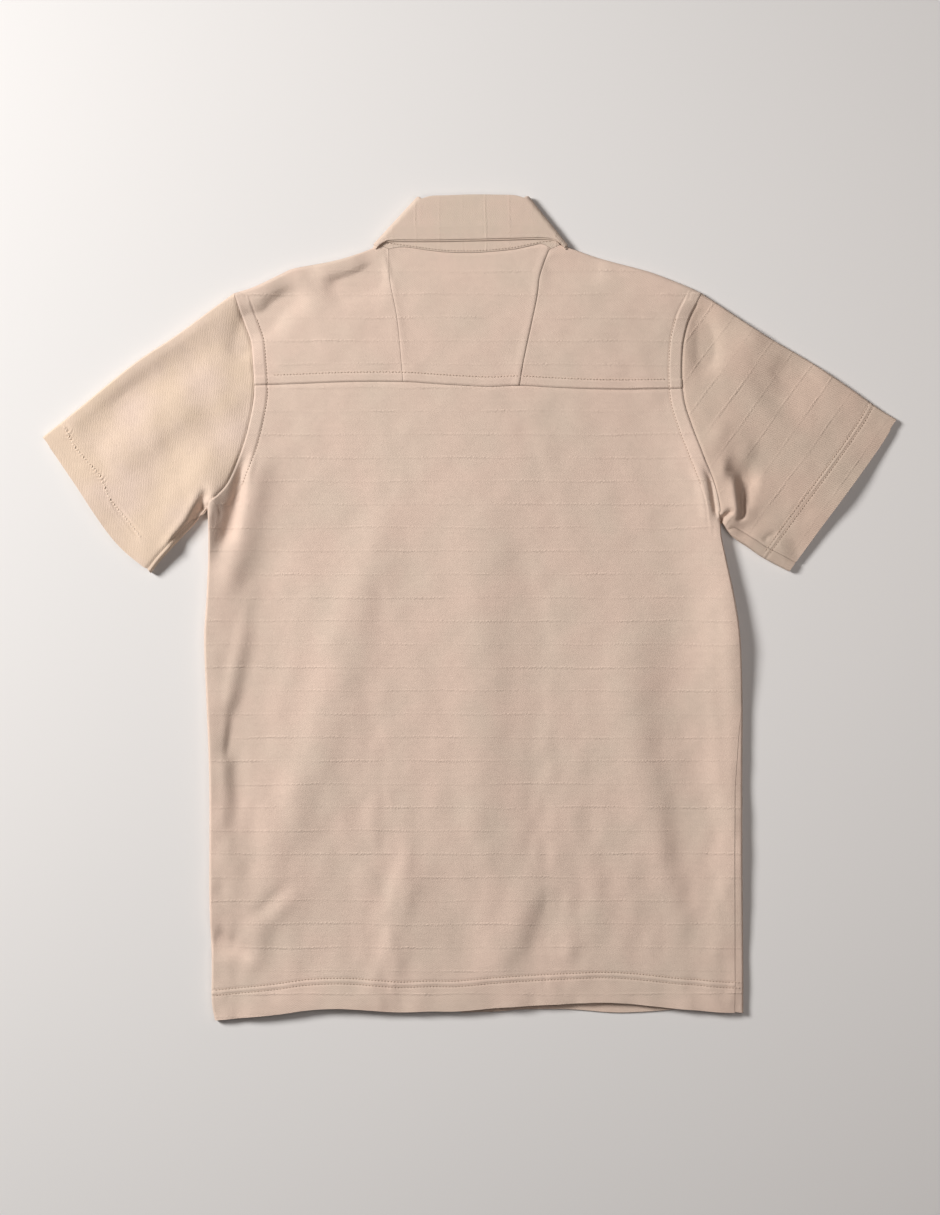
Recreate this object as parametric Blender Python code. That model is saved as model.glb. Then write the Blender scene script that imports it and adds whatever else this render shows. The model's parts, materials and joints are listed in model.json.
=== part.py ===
"""Short-sleeve shirt laid flat with its back up: every cut piece of cloth is one closed solid.

Sizes are millimetres until the meshes are made. +X is the wearer's right, +Y points to the
collar and +Z up. Each piece is a grid of points on its outer face, made solid inwards.
"""

import bpy
import numpy as np

MM = 0.001
# Moves the drawing's axes to the middle of the laid-out shirt
MIDDLE = (-0.5, 0.05, 0.0)

# Colour, roughness
CLOTH_FINISH = ((0.60, 0.46, 0.38, 1.0), 0.9)
BUTTON_FINISH = ((0.62, 0.52, 0.43, 1.0), 0.35)

# Cloth and seams
CLOTH = 1.2
HEM_CLOTH = 2.2
BODY_HEM = 25.0
SLEEVE_HEM = 27.0
SEAM_GAP = 0.3
LAYER = 1.5
CLEARANCE = 0.4

# Heights of the laid-out layers
LOOSE_HEIGHT = 5.3
NECK_TOP = 6.6
NECK_UNDER = 3.0
COLLAR_HALF = 4.8
FOLD_RADIUS = 2.1
PLACKET_RAISE = 1.7
EDGE_RADIUS = 4.0
TIGHT_RADIUS = 1.6

# How fast a fold rises from its ends
FADE_STEEPNESS = 3.6
# The cloth's slow waves: height and lengths across and along
WAVE = 0.35
WAVE_ACROSS = 47.0
WAVE_ALONG = 61.0
# How far round the neck seam the cloth keeps the seam's height
NECK_BLEND = 13.0

# Where the collar lies under the cloth: lowest y, reach to each side, and fades
COLLAR_LOW = 197.0
COLLAR_REACH = 118.0
COLLAR_FADE_ALONG = 25.0
COLLAR_FADE_ACROSS = 22.0
COLLAR_MARGIN = 24.0
# Reach and fade of the closure's rise, in the layer itself and in the cloth over it
CLOSURE_RISE = (42.0, 25.0)
CLOSURE_RISE_ABOVE = (79.8, 37.6)
CLOSURE_TOP = 330.0
LAST_BUTTON_Y = -320.0
LAST_BUTTON_FADE = 50.0
TURN_BACK = 5.0
EDGE_FADE = 20.0
# Where the right front dips from over the left one's edge
LAP_BESIDE = 3.0
LAP_FADE = 27.0
HEM_ZONE_Y = -318.0

# Front closure
PLACKET_HALF = 15.0
CENTRE_NECK = (1.0, 263.0)
CENTRE_HEM = (8.0, -382.0)
STAND_TOP_Y = 297.0
BUTTON_RADIUS = 5.5
BUTTON_THICK = 1.6
BUTTON_GAP = 0.1
# Parts of the radius, and of the thickness downwards
BUTTON_PROFILE = ((1.0, 0.0), (1.0, -0.75), (0.9, -1.0), (0.72, -1.0), (0.6, -0.7))
BUTTON_Y = (218.0, 128.0, 38.0, -52.0, -142.0, -232.0)
STAND_BUTTON = (1.0, 281.0)

# The body's outline seen from above, from the underarm down
SIDE_EDGE = {
    -1: [(-245.8, 95), (-245, 84), (-245, 52), (-247, 7), (-249, -31), (-247, -87), (-245, -134),
         (-244, -181), (-244, -275), (-242, -331), (-242, -369), (-239, -388)],
    1: [(236, 82), (237, 68), (241, 49), (250, 7), (255, -31), (257, -87), (257, -143),
        (257, -237), (258, -331), (258, -381)],
}
# The side seam's place round the edge: -1 under it, 0 at it, over 1 on top and 10 mm a unit further in
SIDE_SEAM = {
    -1: [(0.0, 0.0), (0.06, -0.33), (1.0, -0.33)],
    1: [(0.0, 0.0), (0.05, -0.2), (0.28, 0.0), (0.42, 1.1), (0.55, 1.5), (1.0, 1.6)],
}
SHOULDER_EDGE = {
    -1: [(-84.5, 340.8), (-94, 336.4), (-112, 330), (-131, 325), (-164, 319), (-177, 313.5),
         (-201, 302), (-221, 295.5)],
    1: [(86, 341), (101, 335.8), (118, 330), (135, 325), (158, 319), (176, 313.5),
        (205, 302), (218, 296)],
}
SLEEVE_UPPER = {
    -1: [(-221, 295.5), (-245, 278), (-276, 255.5), (-311, 232.5), (-339, 210.5), (-367, 187.5),
         (-401, 160.5)],
    1: [(218, 296), (245, 278), (280, 255), (318, 233), (353, 210), (385, 187.5), (402, 177)],
}
SLEEVE_LOWER = {
    -1: [(-245.8, 95), (-257, 80), (-268, 68), (-280, 55), (-290, 44), (-299, 32.5)],
    1: [(236, 82), (247, 67), (262, 56.5), (275, 47.5), (289, 40), (301, 34)],
}
# The underarm seam's place on the sleeve's top face, in the same units as the side seam's
UNDERARM_SEAM = {-1: 1.25, 1: 1.8}
ARMHOLE_YOKE = {
    -1: [(-217.2, 284), (-211, 266), (-205.5, 250), (-203.5, 231), (-202, 209)],
    1: [(213.6, 284.8), (206.5, 270), (201.5, 250), (200, 229), (200.5, 206)],
}
ARMHOLE_BACK = {
    -1: [(-202, 209), (-203, 193), (-209, 164), (-217, 139), (-226, 118), (-236, 105.5),
         (-242, 101), (-245.8, 95)],
    1: [(200.5, 206), (203, 190), (209, 171), (218, 147), (228, 121), (234, 100), (236, 82)],
}
ARMHOLE_FRONT = {
    -1: [(-211, 273), (-197, 235), (-193, 195), (-201, 155), (-214, 124), (-230, 108),
         (-241, 101.5), (-245.8, 95)],
    1: [(208, 274), (191, 235), (187, 195), (194, 155), (207, 121), (220, 103), (231, 93),
        (236, 82)],
}
SADDLE_SEAM = {
    -1: [(-78, 341), (-74.5, 308), (-67.5, 270), (-62, 212)],
    1: [(79, 342.6), (74, 333), (66.5, 311), (63.5, 289), (52, 235), (47.5, 208.5)],
}
YOKE_SEAM = [(-202, 209), (-157, 210.5), (-112, 212), (-62, 212), (-22, 209.5), (19, 207.5),
             (47.5, 208.5), (85, 206.5), (123, 205.2), (162, 205.2), (200.5, 206)]
NECK_SEAM = [(-78, 341), (-61, 338.8), (-40, 336), (-22, 334), (3, 333.5), (24, 334.8), (42, 336.7),
             (57, 339.8), (68, 341.9), (79, 342.6)]
FORWARD_SEAM = {-1: [(-80, 318), (-211, 273)], 1: [(82, 318.5), (208, 274)]}
FRONT_NECK = {
    -1: [(-80, 318), (-68, 295), (-48, 276), (-14, 263.5)],
    1: [(82, 318.5), (70, 295), (50, 276), (16, 263.5)],
}
BACK_HEM = [(-239, -388), (-210, -385), (-180, -382), (-152, -378), (-123, -376.5), (-95, -378),
            (-66, -380), (-37, -379), (-11, -379), (24, -376), (55, -374), (96, -372), (126, -371),
            (148, -372), (169, -374), (191, -376.5), (212, -378), (234, -380), (258, -381)]
FRONT_HEM = {
    -1: [(-239, -388), (-205, -381), (-150, -374), (-90, -373), (-7.5, -378)],
    1: [(258, -381), (230, -377), (196, -378), (169, -380), (136, -381), (96, -378), (55, -378),
        (23, -380)],
}
CUFF = {-1: [(-401, 160.5), (-373, 120), (-334, 63.5), (-299, 32.5)],
        1: [(402, 177), (382, 145), (330, 74), (301, 34)]}
NECK_LINE = [SHOULDER_EDGE[-1][0]] + NECK_SEAM + [SHOULDER_EDGE[1][0]]
# Directions of the seams where they cross the shoulder edge: on top, then underneath
NECK_CROSSING = {-1: ((0.92, -0.39), (0.27, -0.96)), 1: ((-0.92, -0.39), (-0.27, -0.96))}
ARM_CROSSING = {-1: ((0.31, -0.95), (0.41, -0.91)), 1: ((-0.37, -0.93), (-0.42, -0.91))}

# Collar: fold line and leaf edge of its back half, then of its two front halves
FOLD_LINE = [(-45, 383.5), (-37, 385), (-22, 385.3), (3, 385.8), (28, 385.8), (44, 385.6), (51, 384.5)]
LEAF_EDGE = [(-86.5, 338.2), (-79.5, 343.4), (-70.5, 345.2), (-38, 345.2), (5, 345.9), (45, 346.9),
             (67, 347.4), (79, 346.1), (85.5, 343), (89.3, 338)]
CREASE = {-1: ((-90, 341.5), (-49.5, 385.5)), 1: ((93, 341), (56.8, 386))}
# How far up along the creases the fold line's corners reach
CORNER_RISE = 1.1
FRONT_FOLD_END = {-1: (-2, 301), 1: (5, 301)}
COLLAR_POINT = {-1: (-47, 245), 1: (51, 246)}
LEAF_EDGE_FRONT = {-1: (-76, 296), 1: (79, 296)}

# Soft folds of the upper layers: height, half width, line
FOLDS = [
    # turned edges hold the cloth up, and the closure, collar and hem push it up from below
    (3.0, 26, SIDE_EDGE[-1]), (3.2, 26, SIDE_EDGE[1]),
    (3.4, 22, SHOULDER_EDGE[-1][2:] + SLEEVE_UPPER[-1][1:]),
    (2.4, 24, SHOULDER_EDGE[1][2:] + SLEEVE_UPPER[1][1:]),
    (2.3, 105, [(0, 400), (2, 0), (6, -620)]),
    (2.6, 85, [(-230, 262), (230, 262)]),
    (1.8, 60, [(-420, -378), (420, -378)]),
    # the sleeves stand open
    (3.6, 46, [(-205, 215), (-270, 168), (-330, 118), (-420, 46)]),
    (4.0, 46, [(205, 215), (270, 165), (330, 125), (425, 60)]),
    # left underarm
    (-3.6, 8, [(-210, 132), (-217, 105), (-226, 72), (-243, 62)]),
    (4.4, 13, [(-192, 160), (-202, 105), (-218, 50), (-232, 0)]),
    (-2.6, 15, [(-176, 80), (-196, 20), (-208, -40)]),
    # long diagonal rise on the wearer's left back, and the hollows beside it
    (3.0, 20, [(-54, 150), (-84, 63), (-106, 0), (-126, -90), (-149, -160), (-188, -245), (-222, -320)]),
    (-2.4, 20, [(-164, 60), (-178, -10), (-196, -80), (-210, -160), (-222, -230)]),
    # left edge and lower left
    (-2.8, 9, [(-222, -85), (-224, -120), (-229, -150)]),
    (-3.6, 10, [(-258, -296), (-232, -318), (-200, -330)]),
    (1.6, 18, [(-140, -230), (-185, -285), (-225, -345)]),
    # middle
    (2.0, 26, [(8, 150), (12, 20), (12, -150), (14, -300)]),
    (-1.3, 24, [(50, 120), (56, 0), (60, -150), (58, -260)]),
    # lower middle
    (2.2, 16, [(-56, -220), (-66, -300), (-72, -365)]),
    (-2.2, 14, [(-30, -235), (-8, -300), (2, -350)]),
    (2.4, 13, [(62, -250), (42, -300), (28, -350)]),
    (-1.6, 14, [(90, -255), (68, -312), (54, -360)]),
    # right half
    (-1.9, 22, [(196, 40), (191, -77), (201, -140), (214, -228), (234, -300)]),
    (2.8, 24, [(166, 20), (150, -77), (162, -150), (176, -228), (196, -310)]),
    (1.6, 12, [(240, 30), (246, -60), (246, -200), (246, -340)]),
    # yoke
    (3.0, 12, [(-92, 327), (-118, 319), (-150, 311)]),
    (-4.4, 13, [(-72, 314), (-106, 303), (-138, 294)]),
    (-4.4, 13, [(-150, 300), (-180, 281), (-199, 250)]),
    (-3.2, 10, [(66, 316), (96, 321), (130, 314)]),
    # left sleeve
    (-4.2, 12, [(-203, 286), (-211, 257), (-218, 228)]),
    (-4.0, 20, [(-372, 136), (-342, 173), (-308, 207), (-262, 232), (-232, 244)]),
    (-3.4, 20, [(-224, 186), (-254, 162), (-288, 134), (-306, 106)]),
    (6.6, 32, [(-218, 166), (-252, 110), (-276, 76), (-318, 14)]),
    # right sleeve
    (-4.0, 12, [(205, 290), (221, 262), (224, 215)]),
    (2.2, 20, [(240, 206), (262, 244), (278, 268)]),
    (-3.2, 22, [(282, 178), (312, 222), (326, 236)]),
    (2.8, 16, [(258, 76), (286, 54), (308, 58)]),
    (2.6, 12, [(224, 168), (246, 154), (272, 142)]),
    (-3.4, 10, [(236, 130), (258, 122), (276, 118)]),
    (4.0, 9, [(236, 146), (246, 112), (250, 72)]),
    (-3.6, 7, [(262, 128), (258, 108), (262, 92)]),
    # body cloth pushed against the right armhole
    (6.2, 26, [(202, 224), (224, 134), (235, 80), (245, 20), (252, -110)]),
    # the hem lifts at the wearer's left and lies down at the right
    (2.6, 26, [(-236, -386), (-185, -382), (-120, -377), (-60, -380)]),
    (1.4, 20, [(190, -376), (235, -378), (258, -380)]),
]

# Grid counts, and how the columns close up on a turned edge
YOKE_COLUMNS = (7, 6, 8)
YOKE_ROWS = 6
BACK_ARM_STEPS = (0.0, 0.17, 0.34, 0.5, 0.65, 0.79, 0.92, 0.95, 0.97, 0.985, 1.0)
ARM_ROWS = len(BACK_ARM_STEPS) - 1
SIDE_ROWS = 18
FRONT_COLUMNS = (4, 4)
PLACKET_COLUMNS = 2
PLACKET_ROWS = (0.0, 0.025, 0.05, 0.065, 0.08, 0.095, 0.115, 0.2, 0.3, 0.4, 0.5, 0.6, 0.7, 0.78,
                0.83, 0.85, 0.87, 0.89, 0.91, 0.94, 0.97, 1.0)
SLEEVE_ROWS = 10
EDGE_STEPS = (1.0, 0.75, 0.5, 0.3, 0.15, 0.0)
FRONT_EDGE_STEPS = (1.0, 0.74, 0.56, 0.4, 0.26, 0.12, 0.0)
SLEEVE_EDGE_STEPS = (1.0, 0.75, 0.56, 0.38, 0.19, 0.0)
FRONT_ARM_STEPS = (0.0, 0.25, 0.48, 0.68, 0.84, 0.95, 0.962, 0.974, 0.984, 0.992, 1.0)
ROLL = (1.0, 0.5, 0.0, -0.5, -1.0)
EDGE_START = 1.9
YOKE_EDGE_START = 1.8
UNIT = 10.0
SEAM_ROW_REACH = 14.0
FRONT_CENTRE_POINTS = 200
# Angles at which cloth goes round the collar's folded top edge and its creases at the sides
LEAF_TURN = (45.0, 0.0, -45.0, -90.0)
CREASE_TURN = (-45.0, 0.0, 45.0, 90.0)
LEAF_COLUMNS = 3
UNDER_COLUMNS = (0.012, 0.34, 0.67, 1.0)
STAND_COLUMNS = 2
# The stand's ends reach this part of the band's half width past the collar, a step
STAND_STEP = 0.55
BUTTON_SIDES = 16
# Near the underarm the armhole seam turns over the edge in three steps
UNDERARM_TURN = (0.75, 0.5, 0.25)


def smooth(value):
    value = np.clip(value, 0.0, 1.0)
    return value * value * (3.0 - 2.0 * value)


def curve(points, steps=16):
    """A smooth line through the points."""
    p = np.array(points, float)
    if len(p) == 2:
        return p
    ends = np.vstack([2 * p[0] - p[1], p, 2 * p[-1] - p[-2]])
    t = np.linspace(0, 1, steps, endpoint=False)[:, None]
    runs = []
    for a, b, c, d in zip(ends, ends[1:], ends[2:], ends[3:]):
        square = 2 * a - 5 * b + 4 * c - d
        cube = 3 * b - a - 3 * c + d
        runs.append(b + 0.5 * ((c - a) * t + square * t**2 + cube * t**3))
    return np.vstack(runs + [p[-1:]])


def run_of(line):
    """How far along the line each of its points lies, 0 to 1."""
    steps = np.linalg.norm(np.diff(line, axis=0), axis=1)
    return np.concatenate([[0.0], np.cumsum(steps)]) / steps.sum()


def at(line, fractions):
    run = run_of(line)
    return np.column_stack([np.interp(fractions, run, line[:, k]) for k in range(line.shape[1])])


def even(count):
    return np.linspace(0.0, 1.0, count + 1)


def nearest(x, y, path):
    """Distance to a line, and where along it the nearest point lies, 0 to 1."""
    path = np.array(path, float)
    run = run_of(path)
    best = np.full(np.shape(x), 1e9)
    place = np.zeros(np.shape(x))
    for k in range(len(path) - 1):
        step = path[k + 1] - path[k]
        t = ((x - path[k, 0]) * step[0] + (y - path[k, 1]) * step[1]) / (step @ step)
        t = np.clip(t, 0.0, 1.0)
        gap = np.hypot(x - path[k, 0] - t * step[0], y - path[k, 1] - t * step[1])
        closer = gap < best
        best = np.where(closer, gap, best)
        place = np.where(closer, run[k] + t * (run[k + 1] - run[k]), place)
    return best, place


def centre_x(y):
    """The front closure's centre line."""
    t = (y - CENTRE_NECK[1]) / (CENTRE_HEM[1] - CENTRE_NECK[1])
    return CENTRE_NECK[0] + t * (CENTRE_HEM[0] - CENTRE_NECK[0])


def under_collar(x, y, wider):
    """1 where the collar lies under the cloth, 0 well outside it."""
    up = smooth((y - COLLAR_LOW + wider) / COLLAR_FADE_ALONG)
    beside = COLLAR_REACH + wider - np.abs(x - CENTRE_NECK[0])
    return up * smooth(beside / COLLAR_FADE_ACROSS)


def over_closure(x, y, rise):
    """1 over the front closure, 0 well beside it."""
    reach, fade = rise
    return smooth((reach - np.abs(x - centre_x(y))) / fade)


def above_last_button(y):
    return smooth((y - LAST_BUTTON_Y) / LAST_BUTTON_FADE)


def bottom(x, y):
    """Outer, lower face of the layer underneath."""
    placket = over_closure(x, y, CLOSURE_RISE) * above_last_button(y)
    return np.maximum(NECK_UNDER * under_collar(x, y, 0.0), PLACKET_RAISE * placket)


def lap(x, y):
    """1 where the wearer's right side lies over the left one's edge, 0 well beside it."""
    inside = centre_x(y) + PLACKET_HALF + LAP_BESIDE
    return smooth((inside + LAP_FADE - x) / LAP_FADE)


def bottom_right(x, y):
    """The same as bottom for the wearer's right front."""
    return bottom(x, y) + LAYER * lap(x, y)


def floor(x, y):
    """The lowest outer face the upper layer may have over what lies under it."""
    collar = NECK_UNDER * under_collar(x, y, COLLAR_MARGIN)
    beside = over_closure(x, y, CLOSURE_RISE_ABOVE)
    beside = beside * smooth((CLOSURE_TOP - y) / COLLAR_FADE_ACROSS)
    placket = PLACKET_RAISE * beside * above_last_button(y + 2 * PLACKET_HALF)
    hem = smooth((HEM_ZONE_Y - y) / PLACKET_HALF)
    thick = 2.0 * CLOTH + CLEARANCE
    return thick + np.maximum(collar, placket) + LAYER * beside + 2 * (HEM_CLOTH - CLOTH) * hem


def top(x, y):
    """Outer, upper face of the upper layer."""
    height = LOOSE_HEIGHT + WAVE * np.sin(x / WAVE_ACROSS + 1.0) * np.sin(y / WAVE_ALONG)
    for rise, half, path in FOLDS:
        gap, place = nearest(x, y, path)
        fade = smooth(FADE_STEEPNESS * np.minimum(place, 1.0 - place))
        height = height + rise * fade * np.exp(-((gap / half) ** 2))
    lowest = floor(x, y)
    over = height - lowest
    height = lowest + 0.5 * (over + np.sqrt(over * over + 0.5))
    gap, _ = nearest(x, y, NECK_LINE)
    neck = np.exp(-((gap / NECK_BLEND) ** 2))
    return height * (1.0 - neck) + NECK_TOP * neck


def facing(height, xy, upward):
    """Unit normals of a height surface, on its upper or its lower side."""
    d = 0.5
    x, y = xy[..., 0], xy[..., 1]
    slope_x = (height(x + d, y) - height(x - d, y)) / (2 * d)
    slope_y = (height(x, y + d) - height(x, y - d)) / (2 * d)
    normal = np.stack([-slope_x, -slope_y, np.ones_like(x)], axis=-1)
    normal = normal / np.linalg.norm(normal, axis=-1, keepdims=True)
    return normal if upward else -normal


def laid(xy, height, upward):
    """Points and normals of cloth that lies on a height surface."""
    z = height(xy[..., 0], xy[..., 1])
    return np.concatenate([xy, z[..., None]], axis=-1), facing(height, xy, upward)


def unit(vectors):
    return vectors / np.linalg.norm(vectors, axis=-1, keepdims=True)


def perpendicular(line, inside):
    """Horizontal directions square to a line, pointing to the side where `inside` lies."""
    tangent = np.gradient(line, axis=0)
    normal = unit(np.stack([-tangent[:, 1], tangent[:, 0]], axis=-1))
    return normal * np.sign(np.sum(normal * (np.array(inside) - line), axis=1))[:, None]


def edge(line, above, below, radius, under, seam_rows=0):
    """A turned edge: its line, the directions inwards on both faces, and its radius."""
    rows = len(line)
    return {
        "line": line,
        "above": np.broadcast_to(above, (rows, 2)).astype(float),
        "below": np.broadcast_to(below, (rows, 2)).astype(float),
        "radius": np.broadcast_to(radius, (rows,)).astype(float),
        "under": under,
        "flat": np.arange(rows) < seam_rows,
    }


def turned(turn, place, upward=True):
    """Points and normals of cloth going round an edge.

    place is 1 where the turn ends on top, -1 where it ends underneath, and past those
    it goes on flat, 10 mm a unit. Rows that are flat are a seam, with no turn.
    """
    place = np.atleast_2d(place)
    line = turn["line"][:, None, :]
    inward = np.where((place >= 0)[..., None], turn["above"][:, None, :], turn["below"][:, None, :])
    radius = turn["radius"][:, None]
    over = line + turn["above"][:, None, :] * radius[..., None]
    beneath = line + turn["below"][:, None, :] * radius[..., None]
    high = top(over[..., 0], over[..., 1])
    low = turn["under"](beneath[..., 0], beneath[..., 1])
    half = (high - low) / 2
    radius = np.minimum(radius, half)
    angle = np.clip(place, -1, 1) * np.pi / 2
    beyond = UNIT * np.maximum(np.abs(place) - 1, 0)
    depth = radius * (1 - np.cos(angle)) + beyond
    seam = np.broadcast_to(turn["flat"][:, None], place.shape)
    depth = np.where(seam, np.abs(place) * SEAM_ROW_REACH / EDGE_START, depth)
    xy = line + inward * depth[..., None]
    points, normals = laid(xy, top, True)
    lower, lower_normals = laid(xy, turn["under"], False)
    is_low = (place <= -1) | (seam & (not upward))
    points = np.where(is_low[..., None], lower, points)
    normals = np.where(is_low[..., None], lower_normals, normals)
    rolled = ~seam & (np.abs(place) < 1)
    round_z = (high + low) / 2 + half * np.sin(angle)
    round_points = np.concatenate([xy, round_z[..., None]], axis=-1)
    sideways = -inward * (np.cos(angle) / radius)[..., None]
    round_normals = unit(np.concatenate([sideways, (np.sin(angle) / half)[..., None]], axis=-1))
    points = np.where(rolled[..., None], round_points, points)
    normals = np.where(rolled[..., None], round_normals, normals)
    return points, normals


def fill(first, last, left, right):
    """Points inside four border lines: first and last rows, left and right columns."""
    u = (run_of(first) + run_of(last))[None, :, None] / 2
    v = (run_of(left) + run_of(right))[:, None, None] / 2
    across = (1 - v) * first[None] + v * last[None] + (1 - u) * left[:, None] + u * right[:, None]
    corners = (1 - v) * ((1 - u) * first[0] + u * first[-1])
    corners = corners + v * ((1 - u) * last[0] + u * last[-1])
    return across - corners


def trim(points, normals, sides):
    """Moves the borders that are seams in by half a seam gap."""
    points = points.copy()
    for side in sides:
        line = {"first": points[0], "last": points[-1], "left": points[:, 0], "right": points[:, -1]}
        inner = {"first": points[1], "last": points[-2], "left": points[:, 1], "right": points[:, -2]}
        facing_out = {"first": normals[0], "last": normals[-1], "left": normals[:, 0],
                      "right": normals[:, -1]}[side]
        border = line[side]
        tangent = unit(np.gradient(border, axis=0) + 1e-9)
        inward = inner[side] - border
        for away in (tangent, facing_out):
            inward = inward - away * np.sum(inward * away, axis=1, keepdims=True)
        border += unit(inward + 1e-9) * SEAM_GAP / 2
    return points


def solid(name, points, normals, thick):
    """A grid of outer points made into a closed solid, `thick` mm deep."""
    rows, columns = points.shape[:2]
    inner = points - normals * np.broadcast_to(thick, (rows, columns))[..., None]
    vertices = np.concatenate([points.reshape(-1, 3), inner.reshape(-1, 3)])
    number = np.arange(rows * columns).reshape(rows, columns)
    count = rows * columns
    faces = []
    for i in range(rows - 1):
        for j in range(columns - 1):
            a, b = number[i, j], number[i, j + 1]
            c, d = number[i + 1, j + 1], number[i + 1, j]
            faces.append((a, b, c, d))
            faces.append((d + count, c + count, b + count, a + count))
    ring = list(number[0, :]) + list(number[1:, -1]) + list(number[-1, -2::-1])
    ring += list(number[-2:0:-1, 0])
    order = vertices @ np.array((0.37, 0.91, 0.2))
    for a, b in zip(ring, ring[1:] + ring[:1]):
        if order[a] < order[b]:
            faces += [(b, a, b + count), (a, a + count, b + count)]
        else:
            faces += [(b, a, a + count), (b, a + count, b + count)]
    return make_object(name, vertices, faces)


def make_object(name, vertices, faces):
    a = vertices[[face[0] for face in faces]]
    b = vertices[[face[1] for face in faces]]
    c = vertices[[face[2] for face in faces]]
    d = vertices[[face[-1] for face in faces]]
    volume = np.sum(np.cross(b - a, c - a) * a) + np.sum(np.cross(c - a, d - a) * a)
    if volume < 0:
        faces = [tuple(reversed(face)) for face in faces]
    mesh = bpy.data.meshes.new(name)
    mesh.from_pydata([tuple(v) for v in vertices * MM], [], faces)
    mesh.shade_smooth()
    mesh.set_sharp_from_angle(angle=np.radians(50.0))
    mesh.materials.append(finish("button" if name.startswith("button") else "cloth"))
    return place(name, mesh, (0.0, 0.0, 0.0))


def place(name, mesh, location):
    """An object under the shirt's own axes."""
    made = bpy.data.objects.new(name, mesh)
    made.location = [value * MM for value in location]
    made.parent = bpy.data.objects["shirt_axes"]
    bpy.context.scene.collection.objects.link(made)
    return made


def make_axes():
    axes = bpy.data.objects.new("shirt_axes", None)
    axes.location = [value * MM for value in MIDDLE]
    bpy.context.scene.collection.objects.link(axes)


def finish(name):
    """The material of that name, made once."""
    found = bpy.data.materials.get(name)
    if found:
        return found
    colour, roughness = BUTTON_FINISH if name == "button" else CLOTH_FINISH
    made = bpy.data.materials.new(name)
    made.use_nodes = True
    made.diffuse_color = colour
    surface = made.node_tree.nodes["Principled BSDF"]
    surface.inputs["Base Color"].default_value = colour
    surface.inputs["Roughness"].default_value = roughness
    surface.inputs["Metallic"].default_value = 0.0
    return made


def hem_thickness(points, hem_line, depth):
    """Cloth doubled near a hem."""
    gap, _ = nearest(points[..., 0], points[..., 1], hem_line)
    return CLOTH + (HEM_CLOTH - CLOTH) * smooth((depth + 3.0 - gap) / 6.0)


def blend(first, last, rows):
    """Directions that turn evenly from the first to the last."""
    t = even(rows - 1)[:, None]
    return unit((1 - t) * np.array(first, float) + t * np.array(last, float))


def yoke_seam_stations():
    """The points of the yoke seam, and the counts of points at the two saddle seams."""
    line = curve(YOKE_SEAM)
    run = run_of(line)
    total = np.linalg.norm(np.diff(line, axis=0), axis=1).sum()
    reach = SEAM_ROW_REACH / total
    cuts = []
    for side in (-1, 1):
        gap = np.linalg.norm(line - np.array(SADDLE_SEAM[side][-1]), axis=1)
        cuts.append(run[np.argmin(gap)])
    steps = np.array(EDGE_STEPS)
    parts = [
        reach * (1 - steps),
        reach + (cuts[0] - reach) * even(YOKE_COLUMNS[0])[1:],
        cuts[0] + (cuts[1] - cuts[0]) * even(YOKE_COLUMNS[1])[1:],
        cuts[1] + (1 - reach - cuts[1]) * even(YOKE_COLUMNS[2])[1:],
        1 - reach * steps[1:],
    ]
    return at(line, np.concatenate(parts))


def side_lines(side):
    """Armhole and side edge as one line of rows, for the back."""
    arm = at(curve(ARMHOLE_BACK[side]), np.array(BACK_ARM_STEPS))
    body = at(curve(SIDE_EDGE[side]), even(SIDE_ROWS))
    return np.vstack([arm, body[1:]])


def side_seam_place(side, rows_before, face):
    marks = SIDE_SEAM[side]
    places = np.interp(even(SIDE_ROWS), [m[0] for m in marks], [m[1] for m in marks])
    before = np.zeros(rows_before)
    before[-len(UNDERARM_TURN):] = face * np.array(UNDERARM_TURN)
    return np.concatenate([before, places])


def opening_radius(fractions, reach):
    """A turned edge's radius, tight where it starts at the underarm."""
    return TIGHT_RADIUS + (EDGE_RADIUS - TIGHT_RADIUS) * smooth(fractions / reach)


def side_radius(rows_before):
    """The radius of the body's edge, after the rows of the armhole."""
    body = opening_radius(even(SIDE_ROWS), 0.15)
    return np.concatenate([np.full(rows_before, body[0]), body])


def back_side(side, seam, hem):
    """Edge of the back on one side: armhole rows, then side rows."""
    line = side_lines(side)
    first = seam[1] - seam[0] if side < 0 else seam[-2] - seam[-1]
    last = hem[1] - hem[0] if side < 0 else hem[-2] - hem[-1]
    inward = blend(unit(first), unit(last), len(line))
    seam_rows = ARM_ROWS - len(UNDERARM_TURN)
    turn = edge(line, inward, inward, side_radius(ARM_ROWS), bottom, seam_rows=seam_rows)
    end = side_seam_place(side, ARM_ROWS, 1)
    steps = np.array(EDGE_STEPS)
    return turned(turn, end[:, None] + (EDGE_START - end[:, None]) * steps)


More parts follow.
